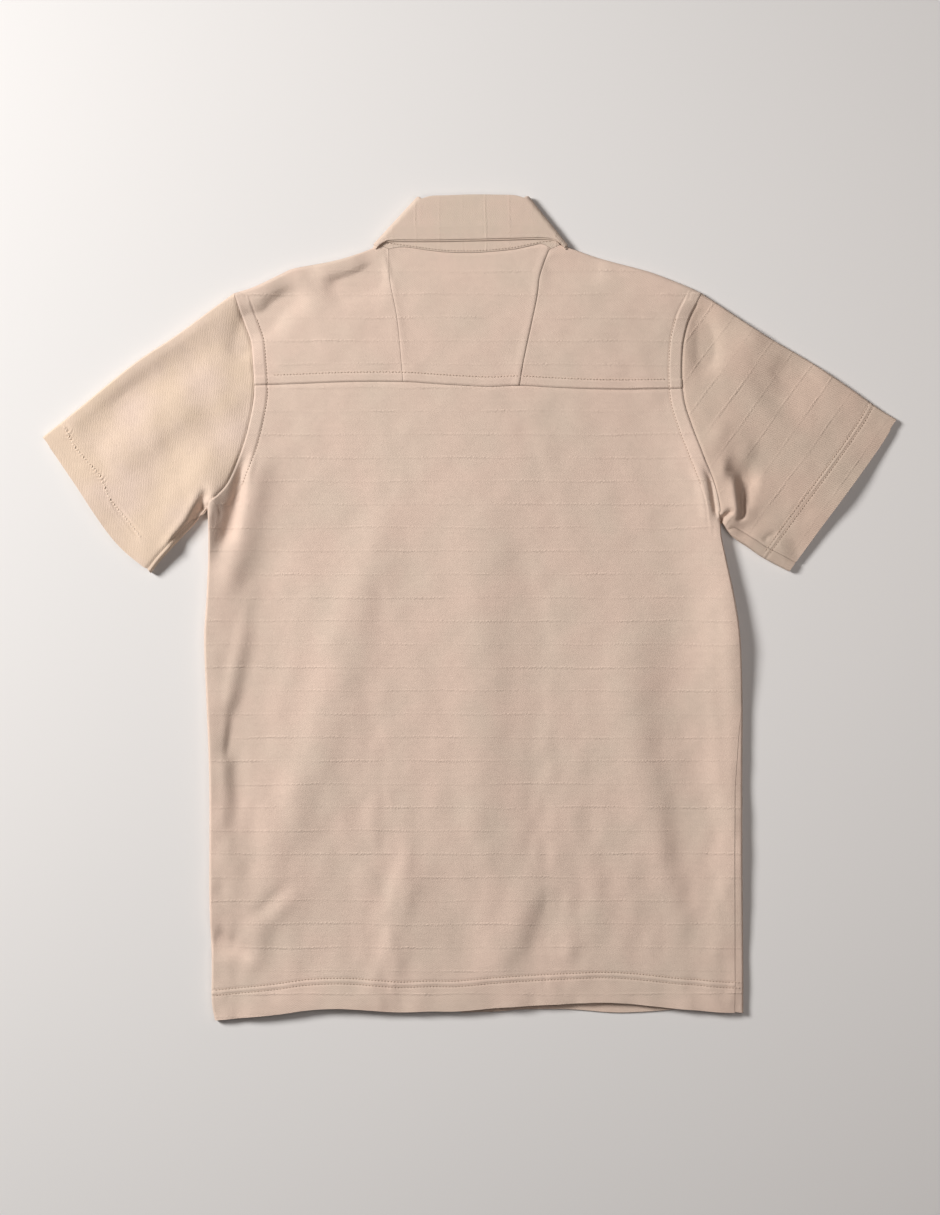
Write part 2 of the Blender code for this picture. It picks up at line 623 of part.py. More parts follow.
def make_back(seam):
    """The back from the yoke seam to the hem. Returns its armhole borders too."""
    hem = curve(BACK_HEM)
    left, left_normals = back_side(-1, seam, hem)
    right, right_normals = back_side(1, seam, hem)
    cut = len(EDGE_STEPS) - 1
    first = seam[cut:len(seam) - cut]
    inner_hem = hem[(hem[:, 0] >= left[-1, 0, 0]) & (hem[:, 0] <= right[-1, 0, 0])]
    inner_hem = np.vstack([left[-1, 0, :2], inner_hem, right[-1, 0, :2]])
    last = at(inner_hem, run_of(first))
    xy = fill(first, last, left[:, 0, :2], right[:, 0, :2])
    middle, middle_normals = laid(xy, top, True)
    points = np.concatenate([left[:, ::-1], middle[:, 1:-1], right], axis=1)
    normals = np.concatenate([left_normals[:, ::-1], middle_normals[:, 1:-1], right_normals], axis=1)
    points[0, :, :2] = seam
    points[0], normals[0] = laid(seam, top, True)
    borders = {
        -1: (points[:ARM_ROWS + 1, 0].copy(), normals[:ARM_ROWS + 1, 0].copy()),
        1: (points[:ARM_ROWS + 1, -1].copy(), normals[:ARM_ROWS + 1, -1].copy()),
    }
    thick = hem_thickness(points, BACK_HEM, BODY_HEM)
    solid("back", trim(points, normals, ("first", "left", "right")), normals, thick)
    return borders


def shoulder_turn(side, fractions):
    """The shoulder's turned edge from the neck to the armhole."""
    line = at(curve(SHOULDER_EDGE[side]), fractions)
    inside = (line[:, 0].mean() * 0.9, 150.0)
    square = perpendicular(line, inside)
    near_neck = smooth(1 - fractions / 0.15)[:, None]
    near_arm = smooth((fractions - 0.8) / 0.2)[:, None]
    middle = 1 - near_neck - near_arm
    directions = []
    for face in (0, 1):
        neck = np.array(NECK_CROSSING[side][face])
        arm = np.array(ARM_CROSSING[side][face])
        directions.append(unit(near_neck * neck + near_arm * arm + middle * square))
    radius = 1.8 + 2.2 * smooth(fractions / 0.35)
    return edge(line, directions[0], directions[1], radius, bottom)


def make_side_yoke(side, seam):
    """One side of the yoke, over the shoulder to the forward seam. Returns its two borders."""
    cut = len(EDGE_STEPS) + YOKE_COLUMNS[0 if side < 0 else 2]
    stations = seam[:cut][::-1] if side < 0 else seam[-cut:]
    fractions = run_of(stations)
    turn = shoulder_turn(side, fractions)
    over, over_normals = turned(turn, np.tile((YOKE_EDGE_START,) + ROLL, (cut, 1)))
    over, over_normals = over.transpose(1, 0, 2), over_normals.transpose(1, 0, 2)
    saddle = curve([tuple(over[0, 0, :2])] + SADDLE_SEAM[side][1:-1] + [tuple(stations[0])])
    armhole = curve([tuple(over[0, -1, :2])] + ARMHOLE_YOKE[side][1:-1] + [tuple(stations[-1])])
    saddle = at(saddle, even(YOKE_ROWS))[::-1]
    armhole = at(armhole, even(YOKE_ROWS))[::-1]
    flat = fill(stations, over[0, :, :2], saddle, armhole)
    upper, upper_normals = laid(flat, top, True)
    seam_under = at(np.array(FORWARD_SEAM[side], float), fractions)
    roll_end = over[-1, :, :2]
    under_xy = np.stack([(roll_end + seam_under) / 2, seam_under])
    under, under_normals = laid(under_xy, bottom, False)
    points = np.concatenate([upper, over[1:], under])
    normals = np.concatenate([upper_normals, over_normals[1:], under_normals])
    name = "yoke_left" if side < 0 else "yoke_right"
    trimmed = trim(points, normals, ("first", "last", "left", "right"))
    solid(name, trimmed, normals, CLOTH)
    neck = (points[YOKE_ROWS:, 0].copy(), normals[YOKE_ROWS:, 0].copy())
    arm = (points[:, -1].copy(), normals[:, -1].copy())
    return {"neck": neck, "arm": arm, "saddle": saddle}


def make_centre_yoke(seam, left, right):
    """The yoke's middle panel. Returns its neck border."""
    start = len(EDGE_STEPS) - 1 + YOKE_COLUMNS[0]
    stations = seam[start:start + YOKE_COLUMNS[1] + 1]
    line = [tuple(left["saddle"][-1])] + NECK_SEAM[1:-1] + [tuple(right["saddle"][-1])]
    neck = at(curve(line), run_of(stations))
    xy = fill(stations, neck, left["saddle"], right["saddle"])
    points, normals = laid(xy, top, True)
    border = (points[-1].copy(), normals[-1].copy())
    solid("yoke_centre", trim(points, normals, ("first", "last", "left", "right")), normals, CLOTH)
    return border


def under_height(side):
    return bottom if side < 0 else bottom_right


def make_front(side):
    """One front, from neck and forward seam to the hem. Returns its neck and armhole borders."""
    height = under_height(side)
    arm = at(curve(ARMHOLE_FRONT[side]), np.array(FRONT_ARM_STEPS))
    arm_rows = len(FRONT_ARM_STEPS) - 1
    body = at(curve(SIDE_EDGE[side]), even(SIDE_ROWS))
    line = np.vstack([arm, body[1:]])
    shoulder = np.array(FORWARD_SEAM[side], float)
    hem = curve(FRONT_HEM[side])
    inward = blend(unit(shoulder[0] - shoulder[1]), unit(hem[1] - hem[0]), len(line))
    seam_rows = arm_rows - len(UNDERARM_TURN)
    turn = edge(line, inward, inward, side_radius(arm_rows), height, seam_rows=seam_rows)
    end = side_seam_place(side, arm_rows, -1)[:, None]
    steps = np.array(FRONT_EDGE_STEPS)
    outer, outer_normals = turned(turn, end + (-EDGE_START - end) * steps, upward=False)
    neck = at(curve(FRONT_NECK[side]), even(FRONT_COLUMNS[0]))[::-1]
    reach = outer[0, 0, :2]
    first = np.vstack([neck, at(np.vstack([shoulder[0], reach]), even(FRONT_COLUMNS[1]))[1:]])
    start = outer[-1, 0, :2]
    beyond = hem[(hem[:, 0] - start[0]) * side < 0]
    last = at(np.vstack([start, beyond]), run_of(first[::-1]))[::-1]
    centre = np.linspace(first[0], last[0], FRONT_CENTRE_POINTS)
    inner = at(centre, run_of(outer[:, 0, :2]))
    xy = fill(first, last, inner, outer[:, 0, :2])
    middle, middle_normals = laid(xy, height, False)
    points = np.concatenate([middle[:, :-1], outer], axis=1)
    normals = np.concatenate([middle_normals[:, :-1], outer_normals], axis=1)
    neck_border = (points[0, :FRONT_COLUMNS[0] + 1].copy(), normals[0, :FRONT_COLUMNS[0] + 1].copy())
    arm_border = (points[:arm_rows + 1, -1].copy(), normals[:arm_rows + 1, -1].copy())
    thick = hem_thickness(points, FRONT_HEM[side], BODY_HEM)
    name = "front_left" if side < 0 else "front_right"
    solid(name, trim(points, normals, ("first", "left", "right")), normals, thick)
    return {"neck": neck_border, "arm": arm_border, "inner": points[:, 0].copy()}


def make_placket(side, front):
    """The band along one front's edge. The left one lies outermost, which is lowest here."""
    height = bottom if side < 0 else placket_right_height
    inner = at(front["inner"][:, :2], np.array(PLACKET_ROWS))
    far = inner - side * np.array([2 * PLACKET_HALF, 0.0])
    far[0, 1] = inner[0, 1] - 0.5
    drop = np.array([0.0, -3.0 if side < 0 else -1.0])
    far[-1] += drop
    rows = []
    for t in even(PLACKET_COLUMNS):
        rows.append(inner * (1 - t) + far * t)
    xy = np.stack(rows, axis=1)
    points, normals = laid(xy, height, False)
    name = "placket_left" if side < 0 else "placket_right"
    border = (points[0].copy(), normals[0].copy())
    solid(name, trim(points, normals, ("left", "first")), normals, CLOTH)
    return border


def placket_right_height(x, y):
    return bottom(x, y) + LAYER


def make_sleeve(side, back_arm, yoke_arm, front_arm):
    """One sleeve: a flattened tube, from the seam on top round the upper edge and back."""
    rows = even(SLEEVE_ROWS)
    cuff = curve(CUFF[side])
    arm_points = np.concatenate([back_arm[0][::-1], yoke_arm[0][1:], front_arm[0][1:]])
    arm_normals = np.concatenate([back_arm[1][::-1], yoke_arm[1][1:], front_arm[1][1:]])
    on_top = ARM_ROWS + YOKE_ROWS
    roll_end = on_top + len(ROLL)
    bottom_end = len(arm_points) - len(SLEEVE_EDGE_STEPS)
    upper_line = at(curve(SLEEVE_UPPER[side]), rows)
    lower_line = at(curve(SLEEVE_LOWER[side]), rows)
    middle = (upper_line + lower_line) / 2
    upper_square = unit(middle - upper_line)
    lower_square = unit(middle - lower_line)
    close = smooth(1 - rows / 0.25)[:, None]
    above = unit(close * np.array(ARM_CROSSING[side][0]) + (1 - close) * upper_square)
    below = unit(close * np.array(ARM_CROSSING[side][1]) + (1 - close) * upper_square)
    upper_turn = edge(upper_line, above, below, EDGE_RADIUS, bottom)
    lower_turn = edge(lower_line, lower_square, lower_square, opening_radius(rows, 0.3), bottom)
    over, over_normals = turned(upper_turn, np.tile((YOKE_EDGE_START,) + ROLL, (len(rows), 1)))
    seam_place = UNDERARM_SEAM[side] * smooth(rows / 0.3)
    steps = np.array(SLEEVE_EDGE_STEPS)
    places = seam_place[:, None] + (-EDGE_START - seam_place[:, None]) * steps
    lower, lower_normals = turned(lower_turn, places)
    seam_line = lower[:, -1, :2].copy()
    seam_line[0] = arm_points[0, :2]
    cuff_seam, cuff_upper = seam_line[-1], over[-1, 0, :2]
    top_cuff = at(cuff_part(cuff, cuff_seam, cuff_upper), even(on_top))
    upper_side = over[:, 0, :2].copy()
    upper_side[0] = arm_points[on_top, :2]
    xy = fill(arm_points[:on_top + 1, :2], top_cuff, seam_line, upper_side)
    top_points, top_normals = laid(xy, top, True)
    top_points[:, 0] = lower[:, -1]
    top_normals[:, 0] = lower_normals[:, -1]
    lower_side = lower[:, 0, :2].copy()
    lower_side[0] = arm_points[bottom_end, :2]
    cuff_under = at(cuff_part(cuff, over[-1, -1, :2], lower_side[-1]), even(bottom_end - roll_end))
    xy = fill(arm_points[roll_end:bottom_end + 1, :2], cuff_under, over[:, -1, :2], lower_side)
    low_points, low_normals = laid(xy, bottom, False)
    points = np.concatenate([top_points, over[:, 1:], low_points[:, 1:], lower[:, 1:]], axis=1)
    normals = np.concatenate(
        [top_normals, over_normals[:, 1:], low_normals[:, 1:], lower_normals[:, 1:]], axis=1
    )
    points[0], normals[0] = arm_points, arm_normals
    thick = hem_thickness(points, CUFF[side], SLEEVE_HEM)
    name = "sleeve_left" if side < 0 else "sleeve_right"
    solid(name, trim(points, normals, ("first", "left", "right")), normals, thick)


def cuff_part(cuff, start, end):
    """The part of the cuff line between two points near it."""
    direction = end - start
    length = np.linalg.norm(direction)
    along = (cuff - start) @ direction / length
    kept = cuff[(along > 1.0) & (along < length - 1.0)]
    if len(kept) and np.linalg.norm(kept[0] - start) > np.linalg.norm(kept[-1] - start):
        kept = kept[::-1]
    return np.vstack([start, kept, end])


def neck_loop(neck_back, yokes, fronts, plackets):
    """Neck seam from the left band's end round the back to the right one's: points, normals."""
    parts = [
        plackets[-1][0][::-1], fronts[-1]["neck"][0][1:], yokes[-1]["neck"][0][::-1][1:],
        neck_back[0][1:], yokes[1]["neck"][0][1:], fronts[1]["neck"][0][::-1][1:],
        plackets[1][0][1:],
    ]
    sides = [
        plackets[-1][1][::-1], fronts[-1]["neck"][1][1:], yokes[-1]["neck"][1][::-1][1:],
        neck_back[1][1:], yokes[1]["neck"][1][1:], fronts[1]["neck"][1][::-1][1:],
        plackets[1][1][1:],
    ]
    return np.concatenate(parts), np.concatenate(sides)


def collar_stations():
    """Per station round the neck: turn angle, fold line and leaf edge places, and directions."""
    front = FRONT_COLUMNS[0] + 2
    table = []
    for side in (-1, 1):
        low, high = np.array(CREASE[side][0], float), np.array(CREASE[side][1], float)
        along = unit(high - low)
        inward = np.array([along[1], -along[0]]) * -side
        fold_end = np.array(FRONT_FOLD_END[side], float)
        point = np.array(COLLAR_POINT[side], float)
        crease_fold = high + inward * COLLAR_HALF
        corner = along * CORNER_RISE
        crease_edge = low + inward * COLLAR_HALF
        folds = at(np.vstack([fold_end, crease_fold + corner]), even(front))
        edges = at(curve([point, LEAF_EDGE_FRONT[side], crease_edge]), even(front))
        rows = [(-90.0, fold, leaf, inward) for fold, leaf in zip(folds, edges)]
        for angle in CREASE_TURN:
            rise = corner * abs(np.sin(np.radians(angle)))
            rows.append((angle, crease_fold + rise, crease_edge, inward))
        table.append(rows)
    left, right = table
    start, end = left[-1], right[-1]
    count = YOKE_COLUMNS[1] + 2
    folds = at(curve([tuple(start[1])] + FOLD_LINE[1:-1] + [tuple(end[1])]), even(count))
    edges = at(curve([tuple(start[2])] + LEAF_EDGE[1:-1] + [tuple(end[2])]), even(count))
    back = [(90.0, fold, leaf, start[3]) for fold, leaf in zip(folds[1:-1], edges[1:-1])]
    return left + back + right[::-1]


def collar_point(place, inward, angle, depth, lift=0.0):
    """A point `depth` mm inside the collar's outer face, and the face's normal there."""
    turn = np.radians(angle)
    radius = COLLAR_HALF - depth
    xy = place - inward * np.cos(turn) * radius
    z = COLLAR_HALF + radius * np.sin(turn) + lift
    normal = np.array([*(-inward * np.cos(turn)), np.sin(turn)])
    return np.array([*xy, z]), normal


def closure_lift(side_of_station, x, y):
    """The wearer's right end of the collar lies one layer further in."""
    if side_of_station < 0:
        return 0.0
    near_front = smooth((CLOSURE_TOP - TURN_BACK - y) / EDGE_FADE)
    return float(LAYER * lap(x, y) * near_front)


def make_collar(neck):
    """Stand, upper collar and under collar, round the flattened neck."""
    stations = collar_stations()
    neck_points, neck_normals = neck
    half = len(stations) / 2
    leaf, leaf_normals, under, under_normals, tops, top_normals = [], [], [], [], [], []
    for number, (angle, fold, leaf_edge, inward) in enumerate(stations):
        side = -1 if number < half else 1
        front = angle < -80.0
        lift = closure_lift(side, fold[0], fold[1]) if front else 0.0
        away = np.array([*unit(fold - leaf_edge), 0.0])
        column, column_normals = [], []
        for t in even(LEAF_COLUMNS):
            point, normal = collar_point(leaf_edge * (1 - t) + fold * t, inward, angle, 0.0)
            column.append(point)
            column_normals.append(normal)
        outer = column_normals[-1]
        centre = column[-1] - outer * FOLD_RADIUS
        for turn in np.radians(LEAF_TURN):
            direction = outer * np.sin(turn) + away * np.cos(turn)
            rise = np.array([0.0, 0.0, lift * (1 - np.sin(turn)) / 2])
            column.append(centre + direction * FOLD_RADIUS + rise)
            column_normals.append(direction)
        leaf.append(column)
        leaf_normals.append(column_normals)
        column, column_normals = [], []
        for t in UNDER_COLUMNS:
            point, normal = collar_point(leaf_edge * (1 - t) + fold * t, inward, angle, LAYER)
            column.append(point)
            column_normals.append(normal)
        under.append(column)
        under_normals.append(column_normals)
        point, normal = collar_point(fold, inward, angle, 2 * LAYER, lift)
        tops.append(point)
        top_normals.append(normal)
    solid("collar_leaf", *seam_last(np.array(leaf), np.array(leaf_normals)), CLOTH)
    solid("collar_under", np.array(under), np.array(under_normals), CLOTH)
    for end, direction in ((0, 1), (-1, -1)):
        for step in range(1, PLACKET_COLUMNS + 1):
            x = FRONT_FOLD_END[-direction][0] + direction * step * STAND_STEP * PLACKET_HALF
            z = neck_points[end, 2]
            extra = np.array([x, STAND_TOP_Y, z])
            tops.insert(0 if end == 0 else len(tops), extra)
            top_normals.insert(0 if end == 0 else len(top_normals), np.array([0.0, 0.0, -1.0]))
    tops, top_normals = np.array(tops), np.array(top_normals)
    rows, row_normals = [], []
    for t in even(STAND_COLUMNS):
        rows.append(neck_points * (1 - t) + tops * t)
        row_normals.append(unit(neck_normals * (1 - t) + top_normals * t))
    points, normals = np.array(rows), np.array(row_normals)
    solid("collar_stand", trim(points, normals, ("first", "last")), normals, CLOTH)


def seam_last(points, normals):
    return trim(points, normals, ("right",)), normals


def make_button_mesh(name):
    """A round button with a raised rim on its lower, outer face, hung from its upper face."""
    vertices = [(0.0, 0.0, 0.0)]
    for across, down in BUTTON_PROFILE:
        for k in range(BUTTON_SIDES):
            angle = 2 * np.pi * k / BUTTON_SIDES
            radius = across * BUTTON_RADIUS
            vertices.append((radius * np.cos(angle), radius * np.sin(angle), down * BUTTON_THICK))
    vertices.append((0.0, 0.0, BUTTON_PROFILE[-1][1] * BUTTON_THICK))
    faces = []
    rings = len(BUTTON_PROFILE)
    for k in range(BUTTON_SIDES):
        following = (k + 1) % BUTTON_SIDES
        faces.append((0, 1 + k, 1 + following))
        for ring in range(rings - 1):
            a = 1 + ring * BUTTON_SIDES
            b = a + BUTTON_SIDES
            faces.append((a + k, b + k, b + following, a + following))
        last = 1 + (rings - 1) * BUTTON_SIDES
        faces.append((len(vertices) - 1, last + following, last + k))
    return make_object(name, np.array(vertices), faces)


def make_buttons():
    """Buttons under the outer band and under the stand's outer end."""
    first = make_button_mesh("button_stand")
    x, y = STAND_BUTTON
    first.location = [value * MM for value in (x, y, NECK_UNDER - BUTTON_GAP)]
    for number, y in enumerate(BUTTON_Y, start=1):
        x = centre_x(y)
        around = np.linspace(-BUTTON_RADIUS, BUTTON_RADIUS, 3)
        low = float(bottom(x + around[:, None], y + around[None, :]).min())
        place(f"button_{number}", first.data, (x, y, low - BUTTON_GAP))


def main():
    for old in list(bpy.data.objects):
        bpy.data.objects.remove(old)
    make_axes()
    seam = yoke_seam_stations()
    back_arms = make_back(seam)
    yokes = {side: make_side_yoke(side, seam) for side in (-1, 1)}
    neck_back = make_centre_yoke(seam, yokes[-1], yokes[1])
    fronts = {side: make_front(side) for side in (-1, 1)}
    plackets = {side: make_placket(side, fronts[side]) for side in (-1, 1)}
    for side in (-1, 1):
        make_sleeve(side, back_arms[side], yokes[side]["arm"], fronts[side]["arm"])
    make_collar(neck_loop(neck_back, yokes, fronts, plackets))
    make_buttons()


main()
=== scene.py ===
"""Looks of the laid-out short-sleeve shirt: finer cloth, seams, stitches, light and camera.

Sizes are millimetres until the meshes are made. +X is the wearer's right, +Y points to the
collar and +Z up. Each piece of cloth is a grid of points on its outer face, made a thin shell.
"""

import json

import bpy
import numpy as np
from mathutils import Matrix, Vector
from mathutils.bvhtree import BVHTree

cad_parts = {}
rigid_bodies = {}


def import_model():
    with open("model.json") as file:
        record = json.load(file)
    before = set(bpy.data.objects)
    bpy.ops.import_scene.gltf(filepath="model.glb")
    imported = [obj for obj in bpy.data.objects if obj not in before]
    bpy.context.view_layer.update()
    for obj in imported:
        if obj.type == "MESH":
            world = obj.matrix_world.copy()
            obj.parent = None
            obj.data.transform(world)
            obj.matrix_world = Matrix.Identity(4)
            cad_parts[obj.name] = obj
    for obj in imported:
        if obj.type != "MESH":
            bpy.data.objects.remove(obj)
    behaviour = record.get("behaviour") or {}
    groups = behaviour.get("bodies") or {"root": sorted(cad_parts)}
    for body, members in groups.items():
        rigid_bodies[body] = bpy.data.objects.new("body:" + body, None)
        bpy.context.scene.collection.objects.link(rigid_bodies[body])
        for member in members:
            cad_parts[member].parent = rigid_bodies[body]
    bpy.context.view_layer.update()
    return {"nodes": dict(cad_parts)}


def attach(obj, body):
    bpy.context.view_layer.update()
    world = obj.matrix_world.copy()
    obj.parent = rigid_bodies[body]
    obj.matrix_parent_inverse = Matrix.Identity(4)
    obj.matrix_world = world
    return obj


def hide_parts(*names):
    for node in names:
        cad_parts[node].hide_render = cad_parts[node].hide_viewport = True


MM = 0.001
# Keeps lengths that divide above zero
TINY = 1e-9
# Moves the drawing's axes to the middle of the laid-out shirt
MIDDLE = np.array((-0.5, 0.05, 0.0))

# Cloth and seams
CLOTH = 1.2
HEM_CLOTH = 2.2
BODY_HEM = 25.0
SLEEVE_HEM = 27.0
HEM_FADE = 6.0
SEAM_GAP = 0.3
LAYER = 1.5
CLEARANCE = 0.4

# Heights of the laid-out layers
LOOSE_HEIGHT = 5.3
NECK_TOP = 6.6
NECK_UNDER = 3.0
COLLAR_HALF = 4.8
FOLD_RADIUS = 2.1
PLACKET_RAISE = 1.7
EDGE_RADIUS = 2.4
TIGHT_RADIUS = 1.6
# The shoulder edge's radius at the neck, what it gains, and the part of its length for that
SHOULDER_RADIUS = (1.8, 2.2, 0.35)
# Parts of the shoulder's length where its cloth still runs as at the neck and at the armhole
NEAR_NECK = 0.15
NEAR_ARM = 0.2

# How fast a fold rises from its ends
FADE_STEEPNESS = 3.6

# The cloth's slow waves: height and lengths across and along
WAVE = 0.35
WAVE_ACROSS = 47.0
WAVE_ALONG = 61.0
# How far round the neck seam the cloth keeps the seam's height
NECK_BLEND = 13.0
# How softly the cloth comes to lie on what is under it, and the distance for taking slopes
SOFTNESS = 0.5
SLOPE_STEP = 0.5

# Where the collar lies under the cloth: lowest y, reach to each side, and fades
COLLAR_LOW = 197.0
COLLAR_REACH = 118.0
COLLAR_FADE_ALONG = 25.0
COLLAR_FADE_ACROSS = 22.0
COLLAR_MARGIN = 24.0
# Reach and fade of the closure's rise, in the layer itself and in the cloth over it
CLOSURE_RISE = (42.0, 25.0)
CLOSURE_RISE_ABOVE = (79.8, 37.6)
CLOSURE_TOP = 330.0
LAST_BUTTON_Y = -320.0
LAST_BUTTON_FADE = 50.0
TURN_BACK = 5.0
EDGE_FADE = 20.0
# Where the right front dips from over the left one's edge
LAP_BESIDE = 3.0
LAP_FADE = 27.0
HEM_ZONE_Y = -318.0

# Front closure
PLACKET_HALF = 15.0
# How far a band's free edge drops below its sewn one, at the neck and at the hem
PLACKET_NECK_DROP = 0.5
PLACKET_HEM_DROP = {-1: 3.0, 1: 1.0}
CENTRE_NECK = (1.0, 263.0)
CENTRE_HEM = (8.0, -382.0)
STAND_TOP_Y = 297.0

# The body's outline seen from above, from the underarm down
SIDE_EDGE = {
    -1: [(-245.8, 95), (-245, 84), (-245, 52), (-247, 7), (-249, -31), (-247, -87), (-245, -134),
         (-244, -181), (-244, -275), (-242, -331), (-242, -369), (-239, -388)],
    1: [(236, 82), (237, 68), (241, 49), (250, 7), (255, -31), (257, -87), (257, -143),
        (257, -237), (258, -331), (258, -381)],
}
# The side seam's place round the edge: -1 under it, 0 at it, over 1 on top and 10 mm a unit further in
SIDE_SEAM = {
    -1: [(0.0, 0.0), (0.06, -0.33), (1.0, -0.33)],
    1: [(0.0, 0.0), (0.05, -0.2), (0.28, 0.0), (0.42, 1.1), (0.55, 1.5), (1.0, 1.6)],
}
SHOULDER_EDGE = {
    -1: [(-84.5, 340.8), (-94, 336.4), (-112, 330), (-131, 325), (-164, 319), (-177, 313.5),
         (-201, 302), (-221, 295.5)],
    1: [(86, 341), (101, 335.8), (118, 330), (135, 325), (158, 319), (176, 313.5),
        (205, 302), (218, 296)],
}
SLEEVE_UPPER = {
    -1: [(-221, 295.5), (-245, 278), (-276, 255.5), (-311, 232.5), (-339, 210.5), (-367, 187.5),
         (-401, 160.5)],
    1: [(218, 296), (245, 278), (280, 255), (318, 233), (353, 210), (385, 187.5), (402, 177)],
}
SLEEVE_LOWER = {
    -1: [(-245.8, 95), (-257, 80), (-268, 68), (-280, 55), (-290, 44), (-299, 32.5)],
    1: [(236, 82), (247, 67), (262, 56.5), (275, 47.5), (289, 40), (301, 34)],
}
# The underarm seam's place on the sleeve's top face, in the same units as the side seam's
UNDERARM_SEAM = {-1: 1.25, 1: 1.8}
ARMHOLE_YOKE = {
    -1: [(-217.2, 284), (-211, 266), (-205.5, 250), (-203.5, 231), (-202, 209)],
    1: [(213.6, 284.8), (206.5, 270), (201.5, 250), (200, 229), (200.5, 206)],
}
ARMHOLE_BACK = {
    -1: [(-202, 209), (-203, 193), (-209, 164), (-217, 139), (-226, 118), (-236, 105.5),
         (-242, 101), (-245.8, 95)],
    1: [(200.5, 206), (203, 190), (209, 171), (218, 147), (228, 121), (234, 100), (236, 82)],
}
ARMHOLE_FRONT = {
    -1: [(-211, 273), (-197, 235), (-193, 195), (-201, 155), (-214, 124), (-230, 108),
         (-241, 101.5), (-245.8, 95)],
    1: [(208, 274), (191, 235), (187, 195), (194, 155), (207, 121), (220, 103), (231, 93),
        (236, 82)],
}
SADDLE_SEAM = {
    -1: [(-78, 341), (-74.5, 308), (-67.5, 270), (-62, 212)],
    1: [(79, 342.6), (74, 333), (66.5, 311), (63.5, 289), (52, 235), (47.5, 208.5)],
}
YOKE_SEAM = [(-202, 209), (-157, 210.5), (-112, 212), (-62, 212), (-22, 209.5), (19, 207.5),
             (47.5, 208.5), (85, 206.5), (123, 205.2), (162, 205.2), (200.5, 206)]
NECK_SEAM = [(-78, 341), (-61, 338.8), (-40, 336), (-22, 334), (3, 333.5), (24, 334.8), (42, 336.7),
             (57, 339.8), (68, 341.9), (79, 342.6)]
FORWARD_SEAM = {-1: [(-80, 318), (-211, 273)], 1: [(82, 318.5), (208, 274)]}
FRONT_NECK = {
    -1: [(-80, 318), (-68, 295), (-48, 276), (-14, 263.5)],
    1: [(82, 318.5), (70, 295), (50, 276), (16, 263.5)],
}
BACK_HEM = [(-239, -388), (-210, -385), (-180, -382), (-152, -378), (-123, -376.5), (-95, -378),
            (-66, -380), (-37, -379), (-11, -379), (24, -376), (55, -374), (96, -372), (126, -371),
            (148, -372), (169, -374), (191, -376.5), (212, -378), (234, -380), (258, -381)]
FRONT_HEM = {
    -1: [(-239, -388), (-205, -381), (-150, -374), (-90, -373), (-7.5, -378)],
    1: [(258, -381), (230, -377), (196, -378), (169, -380), (136, -381), (96, -378), (55, -378),
        (23, -380)],
}
CUFF = {-1: [(-401, 160.5), (-373, 120), (-334, 63.5), (-299, 32.5)],
        1: [(402, 177), (382, 145), (330, 74), (301, 34)]}
NECK_LINE = [SHOULDER_EDGE[-1][0]] + NECK_SEAM + [SHOULDER_EDGE[1][0]]
# Directions of the seams where they cross the shoulder edge: on top, then underneath
NECK_CROSSING = {-1: ((0.92, -0.39), (0.27, -0.96)), 1: ((-0.92, -0.39), (-0.27, -0.96))}
ARM_CROSSING = {-1: ((0.31, -0.95), (0.41, -0.91)), 1: ((-0.37, -0.93), (-0.42, -0.91))}

# Collar: fold line and leaf edge of its back half, then of its two front halves
FOLD_LINE = [(-45, 383.5), (-37, 385), (-22, 385.3), (3, 385.8), (28, 385.8), (44, 385.6), (51, 384.5)]
LEAF_EDGE = [(-86.5, 338.2), (-79.5, 343.4), (-70.5, 345.2), (-38, 345.2), (5, 345.9), (45, 346.9),
             (67, 347.4), (79, 346.1), (85.5, 343), (89.3, 338)]
CREASE = {-1: ((-90, 341.5), (-49.5, 385.5)), 1: ((93, 341), (56.8, 386))}
# How far up along the creases the fold line's corners reach
CORNER_RISE = 0.3
FRONT_FOLD_END = {-1: (-2, 301), 1: (5, 301)}
COLLAR_POINT = {-1: (-47, 245), 1: (51, 246)}
LEAF_EDGE_FRONT = {-1: (-76, 296), 1: (79, 296)}

